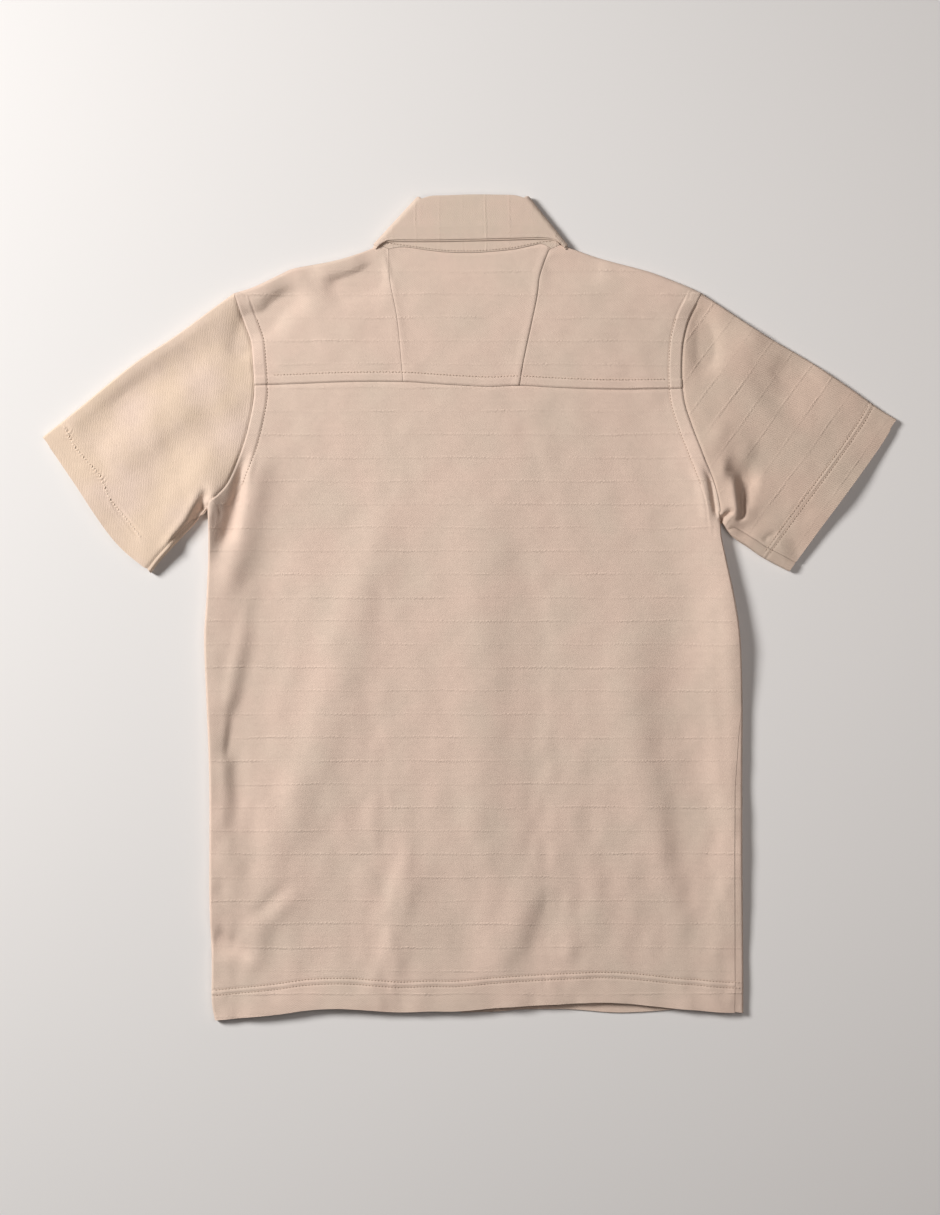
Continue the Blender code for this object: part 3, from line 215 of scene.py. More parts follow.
# Soft folds of the upper layers: height, half width, line
FOLDS = [
    # turned edges hold the cloth up, and the closure, collar and hem push it up from below
    (3.0, 26, SIDE_EDGE[-1]), (3.2, 26, SIDE_EDGE[1]),
    (3.4, 22, SHOULDER_EDGE[-1][2:] + SLEEVE_UPPER[-1][1:]),
    (2.4, 24, SHOULDER_EDGE[1][2:] + SLEEVE_UPPER[1][1:]),
    (2.3, 105, [(0, 400), (2, 0), (6, -620)]),
    (2.6, 85, [(-230, 262), (230, 262)]),
    (1.8, 60, [(-420, -378), (420, -378)]),
    # the sleeves stand open
    (3.6, 46, [(-205, 215), (-270, 168), (-330, 118), (-420, 46)]),
    (4.0, 46, [(205, 215), (270, 165), (330, 125), (425, 60)]),
    # left underarm
    (-3.6, 8, [(-210, 132), (-217, 105), (-226, 72), (-243, 62)]),
    (4.4, 13, [(-192, 160), (-202, 105), (-218, 50), (-232, 0)]),
    (-2.6, 15, [(-176, 80), (-196, 20), (-208, -40)]),
    # long diagonal rise on the wearer's left back, and the hollows beside it
    (3.0, 20, [(-54, 150), (-84, 63), (-106, 0), (-126, -90), (-149, -160), (-188, -245), (-222, -320)]),
    (-2.4, 20, [(-164, 60), (-178, -10), (-196, -80), (-210, -160), (-222, -230)]),
    # left edge and lower left
    (-2.8, 9, [(-222, -85), (-224, -120), (-229, -150)]),
    (-3.6, 10, [(-258, -296), (-232, -318), (-200, -330)]),
    (1.6, 18, [(-140, -230), (-185, -285), (-225, -345)]),
    # middle
    (2.0, 26, [(8, 150), (12, 20), (12, -150), (14, -300)]),
    (-1.3, 24, [(50, 120), (56, 0), (60, -150), (58, -260)]),
    # lower middle
    (2.2, 16, [(-56, -220), (-66, -300), (-72, -365)]),
    (-2.2, 14, [(-30, -235), (-8, -300), (2, -350)]),
    (2.4, 13, [(62, -250), (42, -300), (28, -350)]),
    (-1.6, 14, [(90, -255), (68, -312), (54, -360)]),
    # right half
    (-1.9, 22, [(196, 40), (191, -77), (201, -140), (214, -228), (234, -300)]),
    (2.8, 24, [(166, 20), (150, -77), (162, -150), (176, -228), (196, -310)]),
    (1.6, 12, [(240, 30), (246, -60), (246, -200), (246, -340)]),
    # yoke
    (3.0, 12, [(-92, 327), (-118, 319), (-150, 311)]),
    (-4.4, 13, [(-72, 314), (-106, 303), (-138, 294)]),
    (-4.4, 13, [(-150, 300), (-180, 281), (-199, 250)]),
    (-3.2, 10, [(66, 316), (96, 321), (130, 314)]),
    # left sleeve
    (-4.2, 12, [(-203, 286), (-211, 257), (-218, 228)]),
    (-4.0, 20, [(-372, 136), (-342, 173), (-308, 207), (-262, 232), (-232, 244)]),
    (-3.4, 20, [(-224, 186), (-254, 162), (-288, 134), (-306, 106)]),
    (6.6, 32, [(-218, 166), (-252, 110), (-276, 76), (-318, 14)]),
    # right sleeve
    (-4.0, 12, [(205, 290), (221, 262), (224, 215)]),
    (2.2, 20, [(240, 206), (262, 244), (278, 268)]),
    (-3.2, 22, [(282, 178), (312, 222), (326, 236)]),
    (2.8, 16, [(258, 76), (286, 54), (308, 58)]),
    (2.6, 12, [(224, 168), (246, 154), (272, 142)]),
    (-3.4, 10, [(236, 130), (258, 122), (276, 118)]),
    (4.0, 9, [(236, 146), (246, 112), (250, 72)]),
    (-3.6, 7, [(262, 128), (258, 108), (262, 92)]),
    # body cloth pushed against the right armhole
    (6.2, 26, [(202, 224), (224, 134), (235, 80), (245, 20), (252, -110)]),
    # the hem lifts at the wearer's left and lies down at the right
    (2.6, 26, [(-236, -386), (-185, -382), (-120, -377), (-60, -380)]),
    (1.4, 20, [(190, -376), (235, -378), (258, -380)]),
]

# Creases too fine for the solids: height, half width, line
CREASES = [
    # left underarm: a deep hollow under a bright crest, steep on the crest's side
    (-5.0, 5.5, [(-210, 150), (-217, 110), (-221, 86), (-227, 68), (-240, 54)]),
    (2.4, 4.0, [(-202, 150), (-208, 122), (-212, 98), (-219, 60)]),
    (4.2, 9.0, [(-236, 124), (-243, 90), (-245, 70), (-246, 36)]),
    # left edge: a narrow roll, and the short creases that run into it
    (1.4, 6.0, [(-192, 60), (-212, -20), (-226, -90), (-230, -160), (-230, -240)]),
    (-2.0, 6.0, [(-176, 60), (-196, -20), (-211, -80), (-216, -150), (-217, -240)]),
    (-1.6, 3.5, [(-221, -98), (-224, -120), (-229, -146)]),
    (-2.0, 3.2, [(-164, -252), (-176, -266), (-196, -284), (-214, -292)]),
    (1.2, 5.0, [(-156, -262), (-178, -286), (-202, -306)]),
    (-3.0, 7.0, [(-240, -306), (-228, -314), (-214, -316)]),
    (1.2, 5.0, [(-244, -331), (-222, -331), (-190, -336)]),
    # middle of the back
    (-0.5, 9.0, [(34, -40), (38, -100), (36, -160)]),
    (0.7, 8.0, [(-96, 60), (-120, 0), (-142, -90), (-162, -160), (-198, -245)]),
    (-0.5, 6.0, [(-142, 20), (-156, -60), (-176, -130)]),
    # lower part
    (-0.6, 6.0, [(78, -262), (62, -306), (46, -345)]),
    (-0.9, 5.0, [(-4, -292), (-12, -312), (8, -336)]),
    (0.8, 7.0, [(-66, -240), (-76, -300), (-80, -350)]),
    (0.7, 5.0, [(120, -300), (96, -322), (66, -334)]),
    (-0.7, 5.0, [(150, -250), (166, -290), (150, -330)]),
    (0.6, 6.0, [(132, -210), (140, -260), (120, -300)]),
    # right half
    (-0.6, 9.0, [(178, -60), (184, -134), (198, -224), (222, -300)]),
    (0.8, 7.0, [(228, 40), (226, -60), (236, -180), (244, -330)]),
    # yoke
    (-3.0, 5.0, [(82, 316), (96, 324), (110, 329)]),
    (-1.6, 7.0, [(-82, 318), (-110, 309), (-138, 300)]),
    (-1.6, 7.0, [(-162, 300), (-184, 286), (-201, 260)]),
    (0.7, 3.0, [(-81, 333), (-77, 322), (-74, 306)]),
    (-0.6, 2.5, [(-76, 334), (-73, 320), (-71, 306)]),
    (0.7, 2.5, [(85, 340), (80, 333), (74, 327)]),
    # left sleeve
    (-1.0, 8.0, [(-344, 180), (-316, 202), (-290, 218)]),
    (-0.8, 8.0, [(-248, 150), (-272, 124), (-300, 100)]),
    # left underarm on the sleeve: the fold's edge, the part behind it, and the opening's dark end
    (2.2, 5.5, [(-243, 112), (-257, 98), (-266, 82), (-276, 68), (-290, 50)]),
    (-7.0, 5.0, [(-241, 100), (-253, 90), (-260, 78), (-270, 66), (-282, 56)]),
    (-5.0, 4.5, [(-244, 110), (-250, 100), (-252, 88)]),
    # right sleeve: a pinch by the underarm that curls over its end, and what lies round it
    (-5.0, 2.6, [(256, 116), (256.5, 108), (257, 98), (257, 87), (250, 80)]),
    (2.4, 4.5, [(247, 126), (249, 106), (250, 92), (247, 84)]),
    (0.8, 6.0, [(264, 116), (266, 98), (265, 84), (256, 74)]),
    (-4.5, 2.2, [(234, 78), (238.5, 84.5), (244, 89), (250, 90)]),
    (-3.6, 2.8, [(219, 131), (226, 120.5), (229.5, 100), (233.5, 80)]),
    (1.8, 5.0, [(210, 140), (218, 120), (221, 98), (225, 72)]),
    (-1.0, 2.6, [(275, 61), (282, 67), (290, 71)]),
    (-1.2, 8.0, [(222, 284), (226, 252), (225, 220)]),
    (-1.2, 9.0, [(284, 212), (300, 230), (308, 240)]),
    (-0.9, 7.0, [(300, 92), (312, 84), (318, 100)]),
    (-1.6, 7.0, [(238, 134), (254, 128), (270, 126)]),
]
# Slow unevenness of the cloth: height, waves per mm across and along, shift
RIPPLES = [
    (0.10, 0.171, 0.049, 0.4), (0.09, -0.083, 0.158, 1.9), (0.08, 0.131, -0.117, 3.1),
    (0.06, 0.262, 0.094, 0.9), (0.05, -0.196, 0.231, 2.2), (0.12, 0.052, 0.083, 5.0),
]
# Smaller waves, mostly upright streaks: how many, their shortest and longest length, height per
# length, most slant, where they fade upwards, and the part of them that stays above
SMALL_WAVES = 14
WAVE_LENGTHS = (13.0, 42.0)
WAVE_STEEPNESS = 0.004
WAVE_SLANT = 0.5
WAVE_FADE = (-40.0, 200.0)
WAVES_ABOVE = 0.2
WAVE_SEED = 5

# Sewn lines: distances from the seam or edge
YOKE_WELT = 8.9
ARM_WELT = 12.2
HEM_STITCHES = (23.5, 28.6)
CUFF_STITCHES = (25.2, 29.8)
PUCKERED_CUFF = [(-380.5, 170.6), (-371, 151.8), (-359, 137.7), (-346, 122.7), (-337.5, 103),
                 (-322.5, 84), (-307.5, 65.4)]
CUFF_ZIGZAG = 1.3
# The upper collar's stitched line and the ridge of its turnings: place, height and half width
LEAF_LINE = (2.8, -0.45, 0.6)
LEAF_RIDGE = (12.0, 0.35, 1.5)
# How far its edge is rounded down, and over what width
LEAF_DIP = (0.3, 1.5)
# A welt's height, the dip at its seam, and how wide its rounded edge is
WELT_HEIGHT = 0.55
WELT_DIP = 0.35
WELT_EDGE = 1.6
# Cloth pulled down along a plain seam: depth and half width
SEAM_DEPTH = 0.8
SEAM_HALF = 1.7
# The saddle seams' ridge and dip, how wide the edge and the ridge are and how the ridge fades,
# and how much of them each side has
SADDLE_RISE = 0.45
SADDLE_DIP = 0.25
SADDLE_EDGE = 1.2
SADDLE_REACH = 4.0
SADDLE_FADE = 3.0
SADDLE_DEPTH = {-1: 0.5, 1: 1.0}
# The cloth between a hem's two rows of stitches, and the small waves the stitches make
TWIN_RISE = 0.25
TWIN_HALF = 1.6
HEM_PUCKER = 0.12
HEM_PUCKER_HALF = 5.0
# Lengths of the hem's small waves and of how they stray, and how far they do
HEM_WAVES = (1.7, 11.0, 1.3)
CUFF_PUCKER = 0.4
CUFF_PUCKER_HALF = 4.0
CUFF_WAVES = 200.0
STITCH_GROOVE = 0.5
STITCH_GROOVE_HALF = 0.9
STITCH_STEP = 3.0
STITCH_LENGTH = 2.1
STITCH_RADIUS = 0.45
STITCH_SIDES = 6
# Seams and stitches fade out where the cloth's normal points up by less than this
RELIEF_FADE = 0.5
# Rings of a stitch: place along it, width and height, as parts of its length and radius
STITCH_RINGS = ((0.0, 0.5, -0.8), (0.25, 1.0, 0.35), (0.75, 1.0, 0.35), (1.0, 0.5, -0.8))
# Where the yoke's and the armholes' rows of stitches begin and end, in x and in y
YOKE_STITCHED = (-188, 187)
ARM_STITCHED = (112, 272)
YOKE_ZIGZAG = 0.5
NECK_STITCHES = 1.6

# Material slot, flat cut of what shows in metres, and its area in square metres
SHEETS = {
    "back": ("shirt_cloth", (0.52, 0.61), 0.305),
    "yoke_left": ("shirt_cloth", (0.165, 0.165), 0.022),
    "yoke_centre": ("shirt_cloth", (0.157, 0.128), 0.0165),
    "yoke_right": ("shirt_cloth", (0.175, 0.17), 0.024),
    "front_left": ("shirt_cloth", (0.26, 0.72), 0.155),
    "front_right": ("shirt_cloth", (0.28, 0.72), 0.165),
    "placket_left": ("shirt_cloth", (0.031, 0.645), 0.0195),
    "placket_right": ("shirt_cloth", (0.031, 0.645), 0.0195),
    "sleeve_left": ("sleeve_cloth", (0.4, 0.24), 0.073),
    "sleeve_right": ("sleeve_cloth", (0.4, 0.24), 0.075),
    "collar_stand": ("collar_cloth", (0.42, 0.055), 0.021),
    "collar_leaf": ("collar_cloth", (0.42, 0.075), 0.022),
    "collar_under": ("collar_cloth", (0.4, 0.065), 0.018),
}

# Jersey: distance between ribs, half a rib's width, how far above a rib the raised line with painted
# highlight lies, and the steps of the slanting grain and of the knitted rows, in mm
RIB_SPACING = 21.9
RIB_HALF = 1.3
RIB_HIGHLIGHT_GAP = 1.9
GRAIN_STEP = 1.5
ROW_STEP = 1.1
# The grain's slant across and along, how far it wanders, and the weights of its parts
GRAIN_SLANT = (0.55, 0.8)
GRAIN_WANDER = 2.4
GRAIN_PARTS = {"twill": 0.5, "rows": 0.25, "fuzz": 2.2}
# How far the ribs stray from straight, in mm, and the noise for that, their breaks and their dots
RIB_SWAY = 5.0
SWAY_SCALE = (0.012, 0.02, 0.0)
BREAK_SCALE = (0.018, 0.045, 0.0)
DOT_SCALE = (0.5, 0.3, 0.0)
# Noise below the first number is cut off, and the rest is raised by the second
BREAKS = (0.4, 3.0)
DOTS = (0.33, 3.0)
TINTS = (0.38, 3.2)
# Strength of a rib where it is weakest
LEAST_RIB = 0.25
# Noise per mm: scale, and detail and roughness where they matter
WANDER_NOISE = (0.35,)
FUZZ_NOISE = (1.3, 3.0, 0.65)
MOTTLE_NOISE = (0.16, 3.0)
TINT_NOISE = (0.018,)
# What each feature adds to the shade, and to the bump's height in mm; the rib's darkening is partly
# painted shade, the raised line's brightening is painted highlight
SHADES = {"grain": 0.05, "rib": -0.1, "rib_highlight": 0.09, "mottle": 0.12}
HEIGHTS = {"grain": 0.12, "rib": -0.2, "rib_highlight": 0.35}
# Roughness of the cloth, and what the fuzz adds
CLOTH_ROUGHNESS = (0.86, 0.1)
CLOTH_SURFACE = {
    "Sheen Weight": 0.1,
    "Sheen Roughness": 0.6,
    "Sheen Tint": (1.0, 0.93, 0.86, 1.0),
    "Specular IOR Level": 0.25,
}
# Two tints that change slowly over the cloth
BODY_COLOURS = ((0.675, 0.518, 0.43, 1.0), (0.645, 0.515, 0.425, 1.0))
LEFT_SLEEVE_COLOURS = ((0.68, 0.53, 0.41, 1.0), (0.69, 0.54, 0.45, 1.0))
# The right sleeve's tints are darker than the body's: painted shade for the sleeve turned away from the
# light
RIGHT_SLEEVE_SHADED_COLOURS = ((0.61, 0.462, 0.375, 1.0), (0.595, 0.475, 0.385, 1.0))
# The collar's tints are darker than the body's: painted shade for the collar facing away from the light
COLLAR_SHADED_COLOURS = ((0.62, 0.50, 0.41, 1.0), (0.65, 0.50, 0.415, 1.0))
# Flecked materials: noise scale along x, y and z, its detail, two colours and roughness
# The stitching thread is darker than the cloth: painted shade for the small hollows the stitches pull
# into it
SHADED_THREAD = ((900.0, 900.0, 900.0), 2.0, ((0.38, 0.28, 0.22, 1.0), (0.52, 0.40, 0.32, 1.0)), 0.6)
CUFF_THREAD = ((900.0, 900.0, 900.0), 2.0, ((0.74, 0.60, 0.48, 1.0), (0.82, 0.68, 0.56, 1.0)), 0.6)
BUTTON = ((260.0, 90.0, 260.0), 4.0, ((0.42, 0.32, 0.25, 1.0), (0.72, 0.62, 0.52, 1.0)), 0.32)
PAPER = ((1.6, 1.6, 1.6), 2.0, ((0.74, 0.72, 0.71, 1.0), (0.71, 0.70, 0.695, 1.0)), 0.9)

# Stage, light and camera, in metres
FLOOR_HALF = 6.0
# Place, point aimed at, diameter, watts and colour of each light
LIGHTS = {
    "window": ((-2.1, 1.0, 1.72), (0.4, -0.2, 0.0), 0.95, 107.0, (1.0, 0.985, 0.965)),
    "overhead": ((0.5, 0.0, 1.2), (0.15, 0.0, 0.0), 0.8, 3.8, (1.0, 0.93, 0.89)),
}
ROOM_LIGHT = 0.05
ROOM_COLOUR = (1.0, 0.92, 0.88, 1.0)
# Sharper edges than this are drawn sharp
SHARP_ANGLE = np.radians(50.0)
SENSOR_HEIGHT = 36.0
CAMERA_HEIGHT = 2.2
CLOTH_LEVEL = 0.005
# A height well above the shirt, from which the stitches' places are looked for
ABOVE_CLOTH = 0.05
FRAME_HEIGHT = 1.1421
FRAME_CENTRE = (0.00044, 0.00011)


def smooth(value):
    value = np.clip(value, 0.0, 1.0)
    return value * value * (3.0 - 2.0 * value)


def bell(distance, width):
    """1 at no distance, falling off to each side."""
    return np.exp(-((distance / width) ** 2))


def even(count):
    return np.linspace(0.0, 1.0, count + 1)


def graded(count, ease=0.12):
    """0 to 1 in steps that are closer together at both ends."""
    t = even(count)
    return t - ease * np.sin(2 * np.pi * t)


# Grid counts, and how the columns close up on a turned edge
YOKE_COLUMNS = (40, 30, 44)
YOKE_ROWS = 56
TURN_ROWS = 9
BACK_ARM_STEPS = np.concatenate([0.94 * graded(36), 0.94 + 0.06 * even(TURN_ROWS)[1:]])
ARM_ROWS = len(BACK_ARM_STEPS) - 1
SIDE_STEPS = np.concatenate([0.93 * even(84), 0.93 + 0.07 * even(34)[1:]])
FRONT_COLUMNS = (10, 14)
PLACKET_COLUMNS = 4
PLACKET_ROWS = even(150)
SLEEVE_STEPS = np.concatenate(
    [0.4 * even(64) ** 1.25, 0.4 + 0.42 * even(34)[1:], 0.82 + 0.18 * even(34)[1:]]
)
EDGE_STEPS = 1.0 - even(26)
FRONT_EDGE_STEPS = 1.0 - even(18)
SLEEVE_EDGE_STEPS = 1.0 - even(16)
FRONT_ARM_STEPS = np.concatenate(
    [0.95 * even(16), 0.95 + 0.05 * even(len(SLEEVE_EDGE_STEPS) - 1)[1:]]
)
ROLL = tuple(1.0 - 2.0 * even(10))
EDGE_START = 1.9
YOKE_EDGE_START = 1.8
UNIT = 10.0
SEAM_ROW_REACH = 20.0
# Reach of the turned rows, and over how many rows of the seam it widens
TURN_REACH = TIGHT_RADIUS + UNIT * (EDGE_START - 1.0)
REACH_ROWS = 22
FRONT_CENTRE_POINTS = 400
# Which way the collar's front half and back half face, in degrees, and the angles at which cloth
# goes round the collar's folded top edge and its creases at the sides
FRONT_ANGLE = -90.0
BACK_ANGLE = 90.0
LEAF_TURN = BACK_ANGLE - 180.0 * even(10)[1:]
CREASE_TURN = FRONT_ANGLE + 180.0 * even(len(ROLL) - 1)[1:]
LEAF_COLUMNS = 26
UNDER_COLUMNS = -0.035 + 1.035 * even(14)
STAND_COLUMNS = 8
# The stand's ends reach this part of the band's half width past the collar in all
STAND_REACH = 1.1
# Parts of the sleeve's length: where it takes up the armhole's shape, where its upper edge still
# runs as at the seam, and where its lower edge opens
ARMHOLE_BLEND = 0.07
CROSSING_REACH = 0.25
SLEEVE_OPENING = 0.3
# Points of the cuff's line nearer than this to its ends are left out, in mm
CUFF_MARGIN = 1.0
# The part of the side's length where its edge opens
SIDE_OPENING = 0.15
# Near the underarm the armhole seam turns over the edge
UNDERARM_TURN = 1.0 - even(TURN_ROWS + 1)[1:-1]


def curve(points, steps=16):
    """A smooth line through the points."""
    p = np.array(points, float)
    if len(p) == 2:
        return p
    ends = np.vstack([2 * p[0] - p[1], p, 2 * p[-1] - p[-2]])
    t = np.linspace(0, 1, steps, endpoint=False)[:, None]
    runs = []
    for a, b, c, d in zip(ends, ends[1:], ends[2:], ends[3:]):
        square = 2 * a - 5 * b + 4 * c - d
        cube = 3 * b - a - 3 * c + d
        runs.append(b + 0.5 * ((c - a) * t + square * t**2 + cube * t**3))
    return np.vstack(runs + [p[-1:]])


def run_of(line):
    """How far along the line each of its points lies, 0 to 1."""
    steps = np.linalg.norm(np.diff(line, axis=0), axis=1)
    return np.concatenate([[0.0], np.cumsum(steps)]) / steps.sum()


def at(line, fractions):
    run = run_of(line)
    return np.column_stack([np.interp(fractions, run, line[:, k]) for k in range(line.shape[1])])


def nearest(x, y, path):
    """Distance to a line, and where along it the nearest point lies, 0 to 1."""
    path = np.array(path, float)
    run = run_of(path)
    best = np.full(np.shape(x), np.inf)
    place = np.zeros(np.shape(x))
    for k in range(len(path) - 1):
        step = path[k + 1] - path[k]
        t = ((x - path[k, 0]) * step[0] + (y - path[k, 1]) * step[1]) / (step @ step)
        t = np.clip(t, 0.0, 1.0)
        gap = np.hypot(x - path[k, 0] - t * step[0], y - path[k, 1] - t * step[1])
        closer = gap < best
        best = np.where(closer, gap, best)
        place = np.where(closer, run[k] + t * (run[k + 1] - run[k]), place)
    return best, place


def centre_x(y):
    """The front closure's centre line."""
    t = (y - CENTRE_NECK[1]) / (CENTRE_HEM[1] - CENTRE_NECK[1])
    return CENTRE_NECK[0] + t * (CENTRE_HEM[0] - CENTRE_NECK[0])


def under_collar(x, y, wider):
    """1 where the collar lies under the cloth, 0 well outside it."""
    up = smooth((y - COLLAR_LOW + wider) / COLLAR_FADE_ALONG)
    beside = COLLAR_REACH + wider - np.abs(x - CENTRE_NECK[0])
    return up * smooth(beside / COLLAR_FADE_ACROSS)


def over_closure(x, y, rise):
    """1 over the front closure, 0 well beside it."""
    reach, fade = rise
    return smooth((reach - np.abs(x - centre_x(y))) / fade)


def above_last_button(y):
    return smooth((y - LAST_BUTTON_Y) / LAST_BUTTON_FADE)


def bottom(x, y):
    """Outer, lower face of the layer underneath."""
    placket = over_closure(x, y, CLOSURE_RISE) * above_last_button(y)
    return np.maximum(NECK_UNDER * under_collar(x, y, 0.0), PLACKET_RAISE * placket)


def lap(x, y):
    """1 where the wearer's right side lies over the left one's edge, 0 well beside it."""
    inside = centre_x(y) + PLACKET_HALF + LAP_BESIDE
    return smooth((inside + LAP_FADE - x) / LAP_FADE)


def bottom_right(x, y):
    """The same as bottom for the wearer's right front."""
    return bottom(x, y) + LAYER * lap(x, y)


def floor(x, y):
    """The lowest outer face the upper layer may have over what lies under it."""
    collar = NECK_UNDER * under_collar(x, y, COLLAR_MARGIN)
    beside = over_closure(x, y, CLOSURE_RISE_ABOVE)
    beside = beside * smooth((CLOSURE_TOP - y) / COLLAR_FADE_ACROSS)
    placket = PLACKET_RAISE * beside * above_last_button(y + 2 * PLACKET_HALF)
    hem = smooth((HEM_ZONE_Y - y) / PLACKET_HALF)
    thick = 2.0 * CLOTH + CLEARANCE
    return thick + np.maximum(collar, placket) + LAYER * beside + 2 * (HEM_CLOTH - CLOTH) * hem


def random_ripples():
    random = np.random.default_rng(WAVE_SEED)
    ripples = []
    for length in np.linspace(*WAVE_LENGTHS, SMALL_WAVES):
        angle = random.uniform(-WAVE_SLANT, WAVE_SLANT)
        shift = random.uniform(0.0, 2 * np.pi)
        number = 2 * np.pi / length
        ripples.append((WAVE_STEEPNESS * length, number * np.cos(angle), number * np.sin(angle), shift))
    return ripples


RANDOM_RIPPLES = random_ripples()
FOLD_CURVES = [(rise, half, curve(path, 3)) for rise, half, path in FOLDS + CREASES]


def top(x, y):
    """Outer, upper face of the upper layer."""
    height = LOOSE_HEIGHT + WAVE * np.sin(x / WAVE_ACROSS + 1.0) * np.sin(y / WAVE_ALONG)
    for rise, half, path in FOLD_CURVES:
        gap, place = nearest(x, y, path)
        fade = smooth(FADE_STEEPNESS * np.minimum(place, 1.0 - place))
        height = height + rise * fade * bell(gap, half)
    low_part = WAVES_ABOVE + (1.0 - WAVES_ABOVE) * smooth((WAVE_FADE[0] - y) / WAVE_FADE[1])
    for rise, along_x, along_y, shift in RIPPLES:
        height = height + rise * np.sin(along_x * x + along_y * y + shift)
    for rise, along_x, along_y, shift in RANDOM_RIPPLES:
        height = height + rise * low_part * np.sin(along_x * x + along_y * y + shift)
    lowest = floor(x, y)
    over = height - lowest
    height = lowest + 0.5 * (over + np.sqrt(over * over + SOFTNESS))
    gap, _ = nearest(x, y, NECK_LINE)
    neck = bell(gap, NECK_BLEND)
    return height * (1.0 - neck) + NECK_TOP * neck


def facing(height, xy, upward):
    """Unit normals of a height surface, on its upper or its lower side."""
    x, y = xy[..., 0], xy[..., 1]
    slope_x = (height(x + SLOPE_STEP, y) - height(x - SLOPE_STEP, y)) / (2 * SLOPE_STEP)
    slope_y = (height(x, y + SLOPE_STEP) - height(x, y - SLOPE_STEP)) / (2 * SLOPE_STEP)
    normal = np.stack([-slope_x, -slope_y, np.ones_like(x)], axis=-1)
    normal = normal / np.linalg.norm(normal, axis=-1, keepdims=True)
    return normal if upward else -normal


def laid(xy, height, upward):
    """Points and normals of cloth that lies on a height surface."""
    z = height(xy[..., 0], xy[..., 1])
    return np.concatenate([xy, z[..., None]], axis=-1), facing(height, xy, upward)


def unit(vectors):
    return vectors / np.linalg.norm(vectors, axis=-1, keepdims=True)


def perpendicular(line, inside):
    """Horizontal directions square to a line, pointing to the side where `inside` lies."""
    tangent = np.gradient(line, axis=0)
    normal = unit(np.stack([-tangent[:, 1], tangent[:, 0]], axis=-1))
    return normal * np.sign(np.sum(normal * (np.array(inside) - line), axis=1))[:, None]


def edge(line, above, below, radius, under, seam_rows=0):
    """A turned edge: its line, the directions inwards on both faces, and its radius."""
    rows = len(line)
    near_seam = smooth((seam_rows - np.arange(rows)) / REACH_ROWS)
    return {
        "line": line,
        "above": np.broadcast_to(above, (rows, 2)).astype(float),
        "below": np.broadcast_to(below, (rows, 2)).astype(float),
        "radius": np.broadcast_to(radius, (rows,)).astype(float),
        "under": under,
        "flat": np.arange(rows) < seam_rows,
        "reach": TURN_REACH + (SEAM_ROW_REACH - TURN_REACH) * near_seam,
    }


def turned(turn, place, upward=True):
    """Points and normals of cloth going round an edge.

    place is 1 where the turn ends on top, -1 where it ends underneath, and past those
    it goes on flat, 10 mm a unit. Rows that are flat are a seam, with no turn.
    """
    place = np.atleast_2d(place)
    line = turn["line"][:, None, :]
    inward = np.where((place >= 0)[..., None], turn["above"][:, None, :], turn["below"][:, None, :])
    radius = turn["radius"][:, None]
    over = line + turn["above"][:, None, :] * radius[..., None]
    beneath = line + turn["below"][:, None, :] * radius[..., None]
    high = top(over[..., 0], over[..., 1])
    low = turn["under"](beneath[..., 0], beneath[..., 1])
    half = (high - low) / 2
    radius = np.minimum(radius, half)
    angle = np.clip(place, -1, 1) * np.pi / 2
    beyond = UNIT * np.maximum(np.abs(place) - 1, 0)
    depth = radius * (1 - np.cos(angle)) + beyond
    seam = np.broadcast_to(turn["flat"][:, None], place.shape)
    depth = np.where(seam, np.abs(place) * turn["reach"][:, None] / EDGE_START, depth)
    xy = line + inward * depth[..., None]
    points, normals = laid(xy, top, True)
    lower, lower_normals = laid(xy, turn["under"], False)
    is_low = (place <= -1) | (seam & (not upward))
    points = np.where(is_low[..., None], lower, points)
    normals = np.where(is_low[..., None], lower_normals, normals)
    rolled = ~seam & (np.abs(place) < 1)
    round_z = (high + low) / 2 + half * np.sin(angle)
    round_points = np.concatenate([xy, round_z[..., None]], axis=-1)
    sideways = -inward * (np.cos(angle) / radius)[..., None]
    round_normals = unit(np.concatenate([sideways, (np.sin(angle) / half)[..., None]], axis=-1))
    points = np.where(rolled[..., None], round_points, points)
    normals = np.where(rolled[..., None], round_normals, normals)
    return points, normals


def fill(first, last, left, right):
    """Points inside four border lines: first and last rows, left and right columns."""
    u = (run_of(first) + run_of(last))[None, :, None] / 2
    v = (run_of(left) + run_of(right))[:, None, None] / 2
    across = (1 - v) * first[None] + v * last[None] + (1 - u) * left[:, None] + u * right[:, None]
    corners = (1 - v) * ((1 - u) * first[0] + u * first[-1])
    corners = corners + v * ((1 - u) * last[0] + u * last[-1])
    return across - corners


# A grid's border on each side, and the line next to it
BORDERS = {
    "first": (np.s_[0], np.s_[1]),
    "last": (np.s_[-1], np.s_[-2]),
    "left": (np.s_[:, 0], np.s_[:, 1]),
    "right": (np.s_[:, -1], np.s_[:, -2]),
}


def border_of(points, normals, part):
    """A part of the grid's border as it is before trimming."""
    return points[part].copy(), normals[part].copy()


def trim(points, normals, sides):
    """Moves the borders that are seams in by half a seam gap."""
    points = points.copy()
    for side in sides:
        outer, inner = BORDERS[side]
        border = points[outer]
        inward = points[inner] - border
        for away in (unit(np.gradient(border, axis=0) + TINY), normals[outer]):
            inward = inward - away * np.sum(inward * away, axis=1, keepdims=True)
        border += unit(inward + TINY) * SEAM_GAP / 2
    return points


def hem_thickness(points, hem_line, depth):
    """Cloth doubled near a hem."""
    gap, _ = nearest(points[..., 0], points[..., 1], hem_line)
    return CLOTH + (HEM_CLOTH - CLOTH) * smooth((depth + HEM_FADE / 2 - gap) / HEM_FADE)


def blend(first, last, rows):
    """Directions that turn evenly from the first to the last."""
    t = even(rows - 1)[:, None]
    return unit((1 - t) * np.array(first, float) + t * np.array(last, float))


